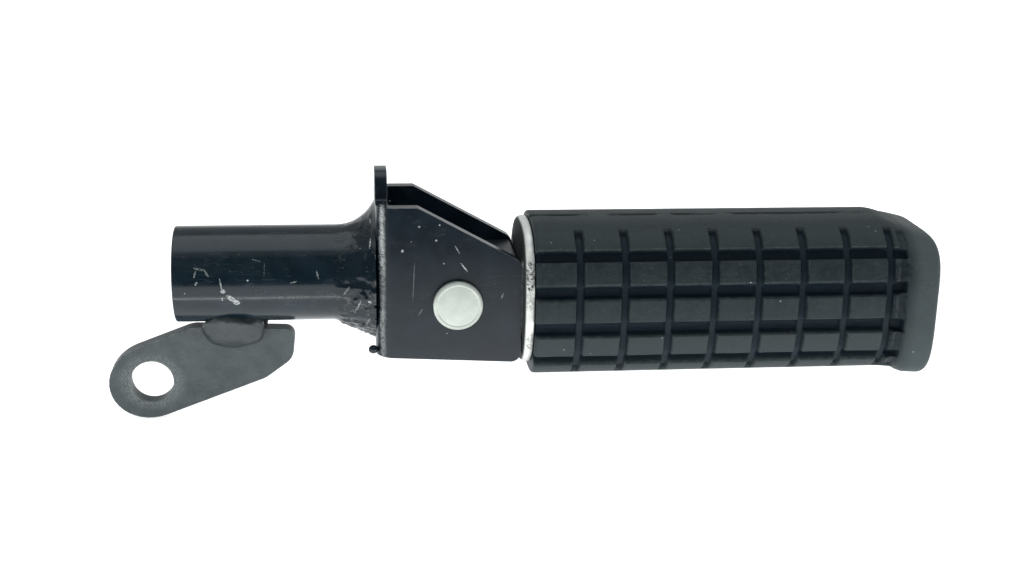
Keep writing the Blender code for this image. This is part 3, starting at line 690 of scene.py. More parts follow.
# %% Geometry recipes
class Recipe(Bench):
    """A geometry tree with named inputs, run once on a piece to give a plain mesh."""

    def __init__(self, name):
        super().__init__(bpy.data.node_groups.new(name, "GeometryNodeTree"))
        self.tree.interface.new_socket("Geometry", in_out="INPUT", socket_type="NodeSocketGeometry")
        self.tree.interface.new_socket("Geometry", in_out="OUTPUT", socket_type="NodeSocketGeometry")
        self.start = self.tree.nodes.new("NodeGroupInput")
        self.end = self.tree.nodes.new("NodeGroupOutput")
        self.given = {}

    def input(self, name, value, kind="NodeSocketFloat"):
        socket = self.tree.interface.new_socket(name, in_out="INPUT", socket_type=kind)
        self.given[socket.identifier] = value
        return Value(self, self.start.outputs[name])

    def geometry(self):
        return Value(self, self.start.outputs["Geometry"])

    def run(self, source, name, last, material, smooth_angle=38.0):
        """Close the tree with Realize Instances and Set Material, run it on source, keep the mesh."""
        real = self.node("GeometryNodeRealizeInstances", {}, {"Geometry": last})
        painted = self.node("GeometryNodeSetMaterial", {}, {"Geometry": real, "Material": material})
        self.feed(self.end.inputs["Geometry"], painted)
        modifier = source.modifiers.new(self.tree.name, "NODES")
        modifier.node_group = self.tree
        for identifier, value in self.given.items():
            modifier[identifier] = value
        source.update_tag()
        ready = bpy.data.meshes.new_from_object(source.evaluated_get(bpy.context.evaluated_depsgraph_get()))
        source.modifiers.remove(modifier)
        ready.name = name
        return placed(name, ready, material, smooth_angle)


def scatter_spatter(source, name, material, seed, density, smallest, largest):
    """Beads on source: density is in beads per square metre, sizes are radii in mm."""
    recipe = Recipe("weld_spatter")
    amount = recipe.input("Density", density)
    low = recipe.input("Smallest", smallest * MM)
    high = recipe.input("Largest", largest * MM)
    points = recipe.node("GeometryNodeDistributePointsOnFaces", {"distribute_method": "RANDOM"},
                         {"Mesh": recipe.geometry(), "Density": amount, "Seed": seed})
    ball = recipe.node("GeometryNodeMeshIcoSphere", {}, {"Radius": 1.0, "Subdivisions": 2})
    size = recipe.node("FunctionNodeRandomValue", {"data_type": "FLOAT"}, {2: low, 3: high, "Seed": seed}, 1)
    beads = recipe.node("GeometryNodeInstanceOnPoints", {},
                        {"Points": points, "Instance": ball, "Scale": size})
    return recipe.run(source, name, beads, material, 180.0)


weld_spatter = scatter_spatter(flared_weld, "weld_spatter", weld_paint, seed=7, density=26000.0,
                               smallest=0.12, largest=0.42)
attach(weld_spatter, "bracket")
print("spatter faces:", len(weld_spatter.data.polygons))


# %% [markdown]
# The bead ends low on the web in a drip, a small drop that froze as it ran. It is spun from half a
# circle, a little longer than it is wide, and sinks into the web.

# %% Weld drip
DRIP_RADIUS = 1.15
DRIP_HALF_LENGTH = 1.15 * DRIP_RADIUS
DRIP_STEPS = 12
drip_turns = [math.pi * step / DRIP_STEPS for step in range(1, DRIP_STEPS)]
drip_profile = [(-DRIP_HALF_LENGTH * math.cos(turn), DRIP_RADIUS * math.sin(turn)) for turn in drip_turns]
weld_drip = turned("weld_drip", drip_profile, "X", (weld_high.x - 0.5, -11.6, -18.1), weld_paint, 32)
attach(weld_drip, "bracket")
print("drip faces:", len(weld_drip.data.polygons))


# %% [markdown]
# ## The bent bracket
# One sheet of steel is bent into a U: a web across the tube and an ear on each side, with a small tab
# standing up from the web. The CAD solid already has the right folds and holes, so a copy of it gets
# its sheared edges eased. Along the bend in front its paint is worn to bright metal, with a painted
# highlight laid over the same strip, brighter towards the top.

# %% Bracket
clevis_low = node_box("clevis_bracket")[0]
web_x = clevis_low.x
ear_y = clevis_low.y
bracket_marks = [
    ((73.2, ear_y, 9.6), (0.16, 1.0, 1.4), -30.0, 0.6),
    ((75.0, ear_y, 4.8), (0.20, 1.0, 1.8), -38.0, 0.9),
    ((59.0, ear_y, 9.4), (0.42, 1.0, 0.42), 0.0, 0.9),
    ((67.7, ear_y, 12.1), (0.32, 1.0, 0.32), 0.0, 0.9),
    ((63.3, ear_y, 15.8), (0.35, 1.0, 0.3), 0.0, 0.7),
    ((61.9, ear_y, 1.0), (0.13, 1.0, 6.0), 2.5, 0.25),
    ((63.6, ear_y, -7.3), (0.15, 1.0, 1.2), 32.0, 0.4),
    ((85.1, ear_y, -3.1), (0.25, 1.0, 0.9), 20.0, 0.35),
    ((64.9, ear_y, 20.3), (0.5, 1.2, 0.5), 0.0, 0.9),
]
# The bend strip is paint worn to metal with a painted highlight over it; the broken edges carry a painted
# edge highlight as well as wear.
bracket_paint = gloss_paint("gloss_black_bracket", (0.001, 0.007, 0.014), 0.22, bracket_marks,
                            edge_wear_and_highlight=0.26, scratch_gain=0.12, bend=(web_x + 1.1, web_x + 2.1))
bracket = eased_copy("clevis_bracket", "bent_bracket", bracket_paint, edge_mm=0.38)
on_body(bracket, "bracket", ["clevis_bracket"])


# %% [markdown]
# ## The locating arm
# A flat bar under the tube, with a bolt eye at its low end, stops the tube turning. It is cut from
# plate, so its outline is the CAD's and only the edges are rounded. A washer has rubbed the eye's face.

# %% Arm
arm_low = node_box("locating_arm")[0]
eye_face = (-7.6, arm_low.y, -29.45)
arm_rubs = [
    (eye_face, (9.6, 1.0, 8.6), 0.0, 0.20),
    (eye_face, (7.6, 1.0, 7.2), 0.0, 0.35),
]
arm_steel = satin_steel("satin_dark_arm", (0.032, 0.046, 0.050), (0.058, 0.077, 0.081), arm_rubs)
arm = eased_copy("locating_arm", "flat_arm", arm_steel, edge_mm=0.55, segments=4, limit=48.0)
on_body(arm, "bracket", ["locating_arm"])


# %% [markdown]
# ## The arm's weld
# A heavy tack of weld on each side joins the arm to the tube. Each is a lump that slants from the arm's
# face up to the tube, so it is a flattened ball, leant over and pulled out of round by fixed noise.

# %% Arm weld
nugget_low, nugget_high = node_box("arm_weld")
LUMP_HALF = Vector((8.1, 3.6, 6.9))
LUMP_LEAN = 36.0


def lump_points(side, steps=80, rows=48):
    """One slanting lump of weld as rings about its thin way, on the front (-1) or rear (1) side."""
    middle = Vector((0.5 * (nugget_low.x + nugget_high.x), side * 4.3, -14.3))
    lean = Matrix.Rotation(math.radians(-side * LUMP_LEAN), 3, "X")
    rings = []
    for row in range(rows + 1):
        tilt = math.pi * row / rows
        ring = []
        for step in range(steps):
            turn = 2.0 * math.pi * step / steps
            way = Vector((math.sin(tilt) * math.cos(turn), -math.cos(tilt), math.sin(tilt) * math.sin(turn)))
            lumpy = 0.10 * noise.noise(way * 1.4 + Vector((5.0, side, 2.0))) + 0.02 * noise.noise(way * 5.0)
            local = way * LUMP_HALF * (1.0 + lumpy)
            ring.append(middle + lean @ local)
        rings.append(ring)
    return rings


def tack_weld(name, material):
    """Both lumps in one mesh, each a closed skin that sinks into the arm and the tube."""
    work = bmesh.new()
    for side in (-1.0, 1.0):
        rows = [[work.verts.new(point * MM) for point in ring] for ring in lump_points(side)]
        closed_grid(work, zip(rows, rows[1:]))
    bmesh.ops.remove_doubles(work, verts=work.verts, dist=2e-6)
    bmesh.ops.recalc_face_normals(work, faces=work.faces)
    mesh = bpy.data.meshes.new(name)
    work.to_mesh(mesh)
    work.free()
    return placed(name, mesh, material, 80.0)


nugget_paint = satin_steel("satin_dark_weld", (0.012, 0.021, 0.024), (0.026, 0.037, 0.040), rough_base=0.30)
nugget = tack_weld("arm_tack_weld", nugget_paint)
on_body(nugget, "bracket", ["arm_weld"])


# %% [markdown]
# ## Pin, washer and split pin
# The hinge pin has a flat head in front, with a fine turned ring and a small chamfer. Behind, a washer
# and a folded wire keep it from sliding out. The pin is lathe work, so it is one spun profile.

# %% Hinge pin
pin_low, pin_high = node_box("hinge_pin")
head_radius = pin_high.x - pivot.x
pin_zinc = zinc("bright_zinc_pin", (0.66, 0.71, 0.65), (0.58, 0.63, 0.58), rough_base=0.32,
                dirt_everywhere=0.05)
HEAD_THICKNESS = 1.8
SHANK_RADIUS = 4.0
head_back = pin_low.y + HEAD_THICKNESS
pin_profile = [
    (pin_low.y + 0.10, 5.2), (pin_low.y + 0.12, 5.4), (pin_low.y, 5.6), (pin_low.y, head_radius - 0.55),
    (pin_low.y + 0.30, head_radius - 0.16), (pin_low.y + 0.60, head_radius), (head_back - 0.2, head_radius),
    (head_back, head_radius - 0.2), (head_back, SHANK_RADIUS), (pin_high.y - 0.7, SHANK_RADIUS),
    (pin_high.y, SHANK_RADIUS - 0.7),
]
pin = turned("hinge_pin_turned", pin_profile, "Y", (pivot.x, 0.0, pivot.z), pin_zinc, 144, smooth_angle=18.0)
on_body(pin, "bracket", ["hinge_pin"])


# %% [markdown]
# A punched washer has one rounded and one sharp side. It is spun as a closed loop, so that its hole is
# part of the same profile.

# %% Washer
washer_low, washer_high = node_box("pin_washer")
washer_radius = washer_high.x - pivot.x
washer_profile = [
    (washer_high.y, 4.5), (washer_high.y, washer_radius - 0.5),
    (washer_high.y - 0.25, washer_radius - 0.1), (washer_high.y - 0.5, washer_radius),
    (washer_low.y + 0.15, washer_radius), (washer_low.y, washer_radius - 0.2),
    (washer_low.y, 4.5), (washer_low.y + 0.2, 4.3), (washer_high.y - 0.2, 4.3),
]
washer = turned("plain_washer", washer_profile, "Y", (pivot.x, 0.0, pivot.z), pin_zinc, 120, loop=True)
on_body(washer, "bracket", ["pin_washer"])


# %% [markdown]
# The split pin is one wire folded into an eye and two legs, pushed through the pin's tail and spread by
# hand. A round section carried along the bent path keeps it one thick all the way.

# %% Split pin
split_low, split_high = node_box("split_pin")
split_y = 0.5 * (split_low.y + split_high.y)
LEG_HALF_GAP = 0.72
EYE_RADIUS = 2.0
EYE_HEIGHT = 6.6
EYE_STEPS = 20
WIRE_RADIUS = 0.5


def wire_path():
    """Centre line of the folded wire, as (x, z) about the hinge: two legs and an eye."""
    left = [(-4.6, -6.9), (-2.6, -6.6), (-1.0, -5.6)]
    left += [(-LEG_HALF_GAP, z) for z in (-4.3, 0.0, 4.4)]
    angles = [math.radians(222.0 - 264.0 * step / EYE_STEPS) for step in range(EYE_STEPS + 1)]
    eye = [(EYE_RADIUS * math.cos(angle), EYE_HEIGHT + EYE_RADIUS * math.sin(angle)) for angle in angles]
    right = [(LEG_HALF_GAP, z) for z in (4.4, 0.0, -4.3)]
    return left + eye + right + [(1.0, -5.6), (2.2, -6.8), (3.8, -7.6)]


def wire_mesh(name, path, radius, y, material, steps=14):
    """A round wire along a path that lies across Y, closed at both ends."""
    rings = []
    for index, (x, z) in enumerate(path):
        before = Vector(path[max(index - 1, 0)])
        after = Vector(path[min(index + 1, len(path) - 1)])
        way = (after - before).normalized()
        side = Vector((-way.y, 0.0, way.x))
        centre = Vector((pivot.x + x, y, pivot.z + z))
        rings.append([centre + side * radius * math.cos(2.0 * math.pi * step / steps)
                      + Vector((0.0, 1.0, 0.0)) * radius * math.sin(2.0 * math.pi * step / steps)
                      for step in range(steps)])
    first = sum(rings[0], Vector()) / steps
    last = sum(rings[-1], Vector()) / steps
    return solid(name, rings, material, first, last, smooth_angle=60.0)


split_pin = wire_mesh("split_pin_wire", wire_path(), WIRE_RADIUS, split_y, pin_zinc)
on_body(split_pin, "bracket", ["split_pin"])


# %% [markdown]
# ## Tongue and stop plate
# The tongue of the step turns on the pin between the ears. It is a flat forging or a cut plate, so an
# eased copy of the CAD solid is enough, with the duller paint of a part that is out of sight.

# %% Tongue
tongue_paint = gloss_paint("gloss_black_tongue", (0.002, 0.007, 0.011), 0.30, edge_wear_and_highlight=0.1)
tongue = eased_copy("peg_lug", "step_tongue", tongue_paint, edge_mm=0.45, limit=50.0)
on_body(tongue, "peg", ["peg_lug"])


# %% [markdown]
# A plated stop plate stands between the ears' ends and the rubber. Its rim is bright and speckled with
# dirt, and below the top its face toward the ears is darkened by painted shade, the black ears mirrored
# in it. It is pressed from sheet, so its edges are barely broken.

# %% Stop plate
plate_low = node_box("stop_plate")[0]
plate_dirt = [
    ((92.0, plate_low.y, 3.6), (2.6, 3.5, 5.2), 0.0, 0.95),
    ((91.8, plate_low.y, -3.5), (1.6, 3.5, 3.0), 0.0, 0.45),
    ((92.4, plate_low.y, -16.5), (1.8, 3.0, 4.5), 0.0, 0.5),
]
plate_zinc = zinc("bright_zinc_plate", (0.90, 0.91, 0.87), (0.74, 0.76, 0.73), plate_dirt, 0.36,
                  dark_face=17.0)
plate = eased_copy("stop_plate", "stop_plate_rolled", plate_zinc, edge_mm=0.15, segments=2, limit=60.0)
on_body(plate, "peg", ["stop_plate"])


# %% [markdown]
# ## The rubber sleeve
# The sleeve is a rounded box section with five rows of blocks on each side and smooth pads above and
# below. First a plain skin is made whose points carry two numbers: `across`, the distance up or down
# from the middle of the side, and `out`, the way out of the rubber. Its rings are closest together
# where a groove's wall will stand, so that the walls come out crisp.

# %% Sleeve sizes
sleeve_low, sleeve_high = node_box("rubber_cover")
SLEEVE_START = sleeve_low.x
SLEEVE_END = sleeve_high.x
HALF_DEPTH = 19.4
HALF_HEIGHT = 20.9
POWER = 3.0
MIDDLE_Z = pivot.z - 1.1
GROOVE_FIRST = pivot.x + 31.75
GROOVE_PITCH = 11.95
GROOVE_COUNT = 8
GROOVE_HALF = 1.0
GROOVE_LAST = GROOVE_FIRST + GROOVE_PITCH * (GROOVE_COUNT - 1)
LIP_START = GROOVE_LAST + GROOVE_HALF + 3.8
TOP_FALL_START = pivot.x + 115.0
TOP_FALL_SLOPE = 0.28
ROW_EDGES = (3.3, 6.9, 13.2, 16.2, 23.0)
BAR_HOLE_RADIUS = 8.3
POCKET_RADIUS = 13.8
POCKET_START = SLEEVE_END - 13.5
POCKET_END = SLEEVE_END - 9.0
END_CROWN = 0.12
END_CROWN_Z = MIDDLE_Z - 2.4
INSIDE = 99.0
print("sleeve from", round(SLEEVE_START, 1), "to", round(SLEEVE_END, 1))


# %% [markdown]
# ### The section
# The section is a superellipse, squarer than an ellipse and rounder than a box, as a moulder would draw
# it. Grooves are placed by the distance along its outline, so a table turns distance into angle.

# %% Outline of the section
def section_point(angle, depth, top, bottom, power=POWER):
    """(y, z) on a superellipse; angle 0 is the middle of the front side and a quarter turn is the top."""
    cosine = math.cos(angle)
    sine = math.sin(angle)
    height = top if sine > 0.0 else bottom
    return Vector((-depth * math.copysign(abs(cosine) ** (2.0 / power), cosine),
                   height * math.copysign(abs(sine) ** (2.0 / power), sine)))


def angle_table(samples=6000):
    """Distance along a quarter of the body's outline against the angle."""
    table = [(0.0, 0.0)]
    last = section_point(0.0, HALF_DEPTH, HALF_HEIGHT, HALF_HEIGHT)
    for index in range(1, samples + 1):
        angle = 0.5 * math.pi * index / samples
        here = section_point(angle, HALF_DEPTH, HALF_HEIGHT, HALF_HEIGHT)
        table.append((table[-1][0] + (here - last).length, angle))
        last = here
    return table


QUARTER_TABLE = angle_table()
QUARTER = QUARTER_TABLE[-1][0]
print("quarter of the outline:", round(QUARTER, 2), "mm")


def spaced(edges, low, high, spacing, offsets):
    """Stations from low to high: a cluster at each edge and even steps of about spacing between."""
    marks = {round(low, 4), round(high, 4)}
    for edge in edges:
        marks.update(round(edge + offset, 4) for offset in offsets if low < edge + offset < high)
    ordered = sorted(marks)
    filled = []
    for here, after in zip(ordered, ordered[1:]):
        pieces = max(1, int((after - here) / spacing + 0.5))
        filled += [here + (after - here) * step / pieces for step in range(pieces)]
    return filled + [ordered[-1]]


WALL_OFFSETS = (-0.62, -0.42, -0.24, -0.08, 0.08, 0.24, 0.42, 0.62)
DRAFT_START = ROW_EDGES[1] - 1.3
SEAM_EDGES = (QUARTER - 0.95, QUARTER - 0.1)


def around_stations():
    """(angle, across) right round the section; across is measured from each side's middle."""
    quarter = spaced(ROW_EDGES + (DRAFT_START,) + SEAM_EDGES, 0.0, QUARTER, 0.9, WALL_OFFSETS)
    angles = []
    place = 0
    for distance in quarter:
        while place < len(QUARTER_TABLE) - 2 and QUARTER_TABLE[place + 1][0] < distance:
            place += 1
        (low, start), (high, end) = QUARTER_TABLE[place], QUARTER_TABLE[place + 1]
        angles.append(start + (end - start) * min(1.0, max(0.0, (distance - low) / (high - low))))
    front_up = list(zip(angles, quarter))
    stations = list(front_up)
    stations += [(math.pi - angle, across) for angle, across in reversed(front_up[:-1])]
    stations += [(math.pi + angle, -across) for angle, across in front_up[1:]]
    stations += [(2.0 * math.pi - angle, -across) for angle, across in reversed(front_up[1:-1])]
    return stations


# %% [markdown]
# ### The skin
# The outside is a stack of sections from the plate to the outer end. The end lip is a little wider and
# deeper than the body and its top slopes down, so each section asks for its own depth, top and bottom.
# Inside, a hole for the bar opens into a pocket for the end disc, so the rubber is a true sleeve.

# %% Skin of the sleeve
def eased(value):
    """Smooth step of a share that is held between 0 and 1."""
    share = min(1.0, max(0.0, value))
    return share * share * (3.0 - 2.0 * share)


def corner_inset(x, radius, end):
    """How far a rounded corner of the given radius has come in at x, before the end."""
    near = min(1.0, max(0.0, (x - (end - radius)) / radius))
    return radius * (1.0 - math.sqrt(1.0 - near * near))


def lip_section(x):
    """Half depth, top, bottom and squareness of the section at x; the top falls away to the outer end."""
    run = max(0.0, x - TOP_FALL_START)
    fall = TOP_FALL_SLOPE * run * min(1.0, 0.4 + run / 8.0)
    lip = eased((x - LIP_START + 0.3) / 1.2)
    ease = corner_inset(SLEEVE_START + SLEEVE_END - x, 0.8, SLEEVE_END)
    depth = HALF_DEPTH + 0.30 * lip - corner_inset(x, 1.9, SLEEVE_END) - ease
    bottom = HALF_HEIGHT + 1.15 * eased((x - LIP_START - 0.2) / 2.6) - corner_inset(x, 2.2, SLEEVE_END) - ease
    top = HALF_HEIGHT + 0.4 - fall - corner_inset(x, 1.5, SLEEVE_END) - ease
    power = POWER + 1.2 * eased((x - TOP_FALL_START) / (SLEEVE_END - TOP_FALL_START))
    return depth, top, bottom, power


def sleeve_skin():
    """Closed grid of rings: bore and end pocket inside, the side skin outside, each point marked."""
    around = around_stations()
    edges = []
    for index in range(GROOVE_COUNT):
        centre = GROOVE_FIRST + GROOVE_PITCH * index
        edges += [centre - GROOVE_HALF, centre + GROOVE_HALF]
    edges += [LIP_START]
    along = spaced(edges, SLEEVE_START, SLEEVE_END, 1.1, WALL_OFFSETS)
    along += [SLEEVE_START + offset for offset in (0.12, 0.3, 0.55)]
    along += [SLEEVE_END - offset for offset in (0.02, 0.08, 0.18, 0.32, 0.5, 0.75, 1.3, 1.8)]
    along = sorted(set(round(x, 4) for x in along))
    inside = [(POCKET_END, POCKET_RADIUS), (POCKET_START, POCKET_RADIUS),
              (POCKET_START, BAR_HOLE_RADIUS), (SLEEVE_START, BAR_HOLE_RADIUS)]
    rings, marks = [], []
    for x, radius in inside:
        ways = [section_point(angle, 1.0, 1.0, 1.0).normalized() for angle, _ in around]
        rings.append([(x, way.x * radius, MIDDLE_Z + way.y * radius) for way in ways])
        marks.append([(INSIDE, (0.0, 0.0, 0.0))] * len(around))
    for x in along:
        depth, top, bottom, power = lip_section(x)
        points = [section_point(angle, depth, top, bottom, power) for angle, _ in around]
        row = []
        for index, (angle, across) in enumerate(around):
            tangent = points[(index + 1) % len(points)] - points[index - 1]
            out = Vector((-tangent.y, tangent.x)).normalized()
            if out.dot(points[index]) < 0.0:
                out.negate()
            row.append((across, (0.0, out.x, out.y)))
        rings.append([(x, point.x, MIDDLE_Z + point.y) for point in points])
        marks.append(row)
    outer_end = rings[-1]
    for share in (0.8, 0.55, 0.3):
        x = SLEEVE_END + END_CROWN * (1.0 - share)
        rings.append([(x, y * share, END_CROWN_Z * (1.0 - share) + z * share) for _, y, z in outer_end])
        marks.append([(INSIDE, (0.0, 0.0, 0.0))] * len(around))
    return rings, marks


def marked_skin():
    """The skin as a mesh object, with `across` and `out` stored on its points."""
    rings, marks = sleeve_skin()
    count = len(rings[0])
    points = [Vector(point) * MM for ring in rings for point in ring]
    across = [mark[0] for row in marks for mark in row]
    out = [value for row in marks for mark in row for value in mark[1]]
    faces = []
    for row in range(len(rings) - 1):
        for index in range(count):
            other = (index + 1) % count
            faces.append((row * count + index, (row + 1) * count + index,
                          (row + 1) * count + other, row * count + other))
    poles = ((0, Vector((POCKET_END, 0.0, MIDDLE_Z)) * MM),
             (len(rings) - 1, Vector((SLEEVE_END + END_CROWN, 0.0, END_CROWN_Z)) * MM))
    for row, pole in poles:
        tip = len(points)
        points.append(pole)
        across.append(INSIDE)
        out += [0.0, 0.0, 0.0]
        for index in range(count):
            other = (index + 1) % count
            low, high = row * count + index, row * count + other
            faces.append((low, high, tip) if row == 0 else (high, low, tip))
    mesh = bpy.data.meshes.new("sleeve_skin")
    mesh.from_pydata(points, [], faces)
    mesh.attributes.new("across", "FLOAT", "POINT").data.foreach_set("value", across)
    mesh.attributes.new("out", "FLOAT_VECTOR", "POINT").data.foreach_set("vector", out)
    work = bmesh.new()
    work.from_mesh(mesh)
    bmesh.ops.recalc_face_normals(work, faces=work.faces)
    work.to_mesh(mesh)
    work.free()
    item = bpy.data.objects.new("sleeve_skin", mesh)
    bpy.context.scene.collection.objects.link(item)
    return item


rubber_finish = dusty_rubber_and_painted_light()
skin = marked_skin()
print("skin points:", len(skin.data.vertices))


# %% [markdown]
# ### Grooves that repeat
# The grooves follow a rule, so a geometry recipe cuts them: it works out, for every point of the skin,
# how deep it lies below the surface, moves it in by that much and stores the share as `sunk`. The
# cross grooves are a little shallower than the long ones, so their floors stand as small bridges where
# the two cross. One long wall has more draft than the others, so that the mould could open.

# %% Groove recipe
def cut_grooves(source, name, material):
    """Grooves, the narrow last column and the parting line, cut in a skin that carries `across` and `out`."""
    recipe = Recipe("sleeve_grooves")
    first = recipe.input("First groove", GROOVE_FIRST)
    pitch = recipe.input("Pitch", GROOVE_PITCH)
    half = recipe.input("Half width", GROOVE_HALF)
    wall = recipe.input("Wall", 0.75)
    long_depth = recipe.input("Long depth", 2.6)
    cross_depth = recipe.input("Cross depth", 1.75)
    lip = recipe.input("Lip start", LIP_START)
    pad = recipe.input("Pad start", ROW_EDGES[4])
    place = recipe.node("GeometryNodeInputPosition", {}, {})
    x = recipe.node("ShaderNodeSeparateXYZ", {}, {0: place}, 0) / MM
    across = recipe.node("GeometryNodeInputNamedAttribute", {"data_type": "FLOAT"}, {"Name": "across"})
    out = recipe.node("GeometryNodeInputNamedAttribute", {"data_type": "FLOAT_VECTOR"}, {"Name": "out"})
    side = across.size()
    upper = across.ramp(0.0, 0.01)
    sway = recipe.node("ShaderNodeTexNoise", {}, {"Vector": place, "Scale": 160.0, "Detail": 2.0}) - 0.5
    step = (x - first + pitch * 0.5).wrapped(pitch) - pitch * 0.5
    near = step.size() + sway * 0.18
    cross = near.ramp(half + wall * 0.5, half - wall * 0.5)
    cross = cross * side.ramp(pad + 0.3, pad - 0.3)
    cross = cross * x.ramp(first - pitch * 0.4, first - pitch * 0.4 + 0.1) * x.ramp(lip - 0.7, lip - 1.0)
    bend = side + sway * 0.15
    draft = upper * 1.1
    inner = bend.ramp(ROW_EDGES[0] - 0.35, ROW_EDGES[0] + 0.35)
    inner = inner * bend.ramp(draft * 0.1 + ROW_EDGES[1] + 0.35, ROW_EDGES[1] - 0.35 - draft)
    outer = bend.ramp(ROW_EDGES[2] - 0.35, ROW_EDGES[2] + 0.35)
    outer = outer * bend.ramp(ROW_EDGES[3] + 0.35, ROW_EDGES[3] - 0.35)
    rows = (inner + outer) * x.ramp(lip + 0.1, lip - 0.6)
    narrow = 1.0 - x.ramp(lip - 2.9, lip - 3.3)
    narrow = narrow * x.ramp(lip + 0.1, lip - 0.6) * side.ramp(pad + 0.3, pad - 0.3) * 0.95
    sink = rows * (1.0 - cross) * long_depth + cross * cross_depth
    sink = sink.most(narrow)
    outside = side.ramp(INSIDE - 39.0, INSIDE - 40.0)
    seam = side.ramp(QUARTER - 1.15, QUARTER - 0.75) * outside
    broken = recipe.node("ShaderNodeTexNoise", {}, {"Vector": place, "Scale": 120.0, "Detail": 3.0})
    seam = seam * broken.ramp(0.38, 0.52) * x.ramp(SLEEVE_END - 14.0, SLEEVE_END - 18.0)
    worn = sway * outside * 0.10
    deep = sink + seam * 0.35 + worn
    inward = recipe.node("ShaderNodeVectorMath", {"operation": "SCALE"}, {0: out, "Scale": deep * -MM})
    settings = {"data_type": "FLOAT", "domain": "POINT"}
    marked = recipe.geometry()
    for label, value in (("sunk", sink / long_depth), ("seam", seam)):
        marked = recipe.node("GeometryNodeStoreNamedAttribute", settings,
                             {"Geometry": marked, "Name": label, "Value": value})
    moved = recipe.node("GeometryNodeSetPosition", {}, {"Geometry": marked, "Offset": inward})
    return recipe.run(source, name, moved, material, 50.0)


sleeve = cut_grooves(skin, "rubber_sleeve", rubber_finish)
bpy.data.objects.remove(skin)
on_body(sleeve, "peg", ["rubber_cover"])


# %% [markdown]
# ## What the rubber hides
# The bar and the riveted end disc are already right in the CAD, so their nodes stay. Each gets a
# finish on its object's own material slot, which leaves the CAD mesh as it is.

# %% Hidden steel
inner_steel = satin_steel("oiled_inner_steel", (0.020, 0.026, 0.029), (0.045, 0.052, 0.054), rough_base=0.38)
hidden_nodes = ("peg_bar", "bar_end_plate")
for node_name in hidden_nodes:
    slot = frame["nodes"][node_name].material_slots[0]
    slot.link = "OBJECT"
    slot.material = inner_steel
print("inner steel on", len(hidden_nodes), "nodes")


# %% [markdown]
# ## Studio
# The object lies on a wide white floor that glows a little, so the ground stays white right up to it.

# %% Floor
def studio_floor(height, reach):
    mesh = bpy.data.meshes.new("studio_floor")
    corners = [(x * reach, y * reach, height) for x, y in ((-1, -1), (1, -1), (1, 1), (-1, 1))]
    mesh.from_pydata(corners, [], [(0, 1, 2, 3)])
    floor = bpy.data.objects.new("studio_floor", mesh)
    bpy.context.scene.collection.objects.link(floor)
    white = Finish("white_floor", Roughness=0.8, Emission_Strength=0.80)
    soft = white.cloud(300.0, 2.0)
    white.wear(Base_Color=white.tint(soft, (0.93, 0.93, 0.93), (0.96, 0.96, 0.96)),
               Emission_Color=white.tint(soft, (0.98, 1.0, 1.0), (1.0, 1.0, 1.0)))
    mesh.materials.append(white.material)


lowest = min(corner[2] for corner in cad_box)
studio_floor(lowest - 0.0006, 8.0)
print("floor at", round(lowest * 1000, 1), "mm")


# %% [markdown]
# Shiny black paint shows only what it mirrors. A dark card stands in front, leaning back a little, and
# is seen only by reflections: it gives the tube its dark band, as a dark room behind the camera would.

# %% Dark card
def dark_card(left, front, width, bottom, top, lean):
    mesh = bpy.data.meshes.new("dark_card")
    right = left + width
    back = front - lean
    corners = [(left, front, bottom), (right, front, bottom), (right, back, top), (left, back, top)]
    mesh.from_pydata(corners, [], [(0, 1, 2, 3)])
    card = bpy.data.objects.new("dark_card", mesh)
    bpy.context.scene.collection.objects.link(card)
    dark = Finish("dark_card", Roughness=1.0)
    soft = dark.cloud(60.0, 2.0)
    dark.wear(Base_Color=dark.tint(soft, (0.010, 0.012, 0.014), (0.020, 0.022, 0.024)))
    mesh.materials.append(dark.material)
    for ray in ("camera", "diffuse", "shadow", "transmission", "volume_scatter"):
        setattr(card, "visible_" + ray, False)


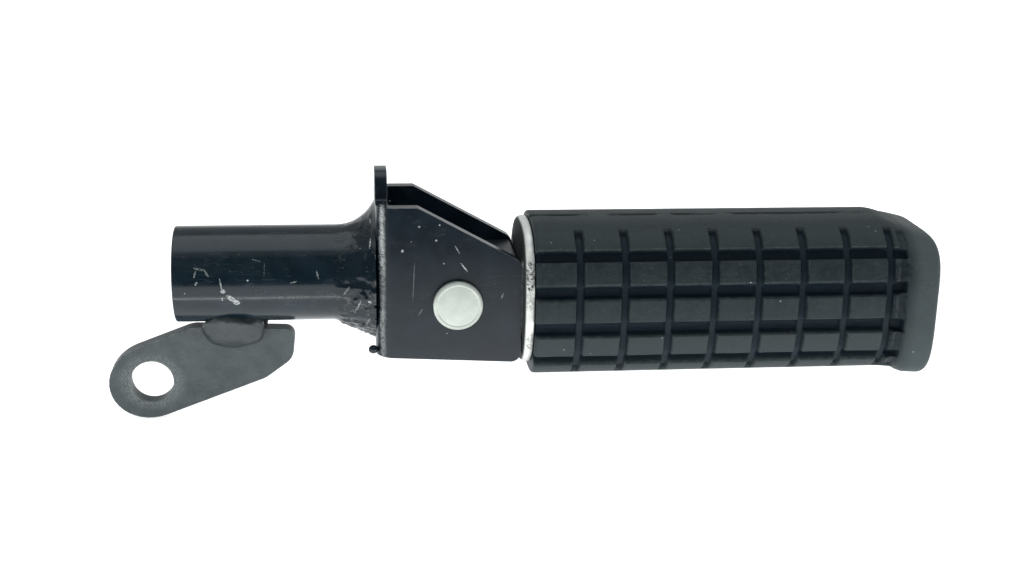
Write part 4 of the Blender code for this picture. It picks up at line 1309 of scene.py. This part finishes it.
dark_card(left=-0.12, front=-0.105, width=0.42, bottom=-0.024, top=0.19, lean=0.03)
print("dark card ready")


# %% [markdown]
# A wide softbox overhead lights everything, a weak one in front opens the shadows, and a thin strip
# near the floor draws the bright line along the tube's lower side.

# %% Lights
def soft_light(name, place, target, size, power, colour=(1.0, 1.0, 1.0)):
    data = bpy.data.lights.new(name, "AREA")
    data.shape = "RECTANGLE"
    data.size, data.size_y = size
    data.energy = power
    data.color = colour
    light = bpy.data.objects.new(name, data)
    light.location = place
    way = Vector(target) - Vector(place)
    light.rotation_euler = way.to_track_quat("-Z", "Y").to_euler()
    bpy.context.scene.collection.objects.link(light)
    return light


middle_x = 0.5 * (cad_box[0][0] + cad_box[1][0])
middle = (middle_x, 0.0, 0.0)
cool_white = (0.90, 0.98, 1.0)
soft_light("overhead_softbox", (middle_x, 0.05, 0.70), middle, (0.9, 0.64), 1.8, cool_white)
soft_light("front_fill", (middle_x - 0.35, -0.75, 0.55), middle, (0.5, 0.4), 0.8)
strip = soft_light("low_strip", (0.10, -0.046, lowest + 0.0008), (0.10, -0.046, 1.0), (0.42, 0.0025), 0.030)
strip.visible_camera = False
print("three lights ready")


# %% [markdown]
# Pale light comes from all round, dimmer overhead, so that the softbox still shows in the paint.

# %% Sky
def soft_sky(low, high):
    """Even light all round: pale near the horizon and dimmer overhead."""
    world = bpy.data.worlds.new("soft_sky")
    world.use_nodes = True
    sky = Bench(world.node_tree)
    background = world.node_tree.nodes["Background"]
    background.inputs["Color"].default_value = (0.97, 0.99, 1.0, 1.0)
    way = sky.node("ShaderNodeTexCoord", {}, {}, "Generated")
    height = sky.node("ShaderNodeSeparateXYZ", {}, {0: way}, 2)
    sky.feed(background.inputs["Strength"], height.ramp(0.10, 0.45) * (high - low) + low)
    bpy.context.scene.world = world


soft_sky(0.92, 0.35)
bpy.context.scene.view_settings.view_transform = "Standard"
print("studio ready")


# %% [markdown]
# ## Closing the lesson
# The CAD model's box is printed in millimetres.

# %% Sizes and finish
print("cad box", [[round(v * 1000, 1) for v in corner] for corner in cad_box])
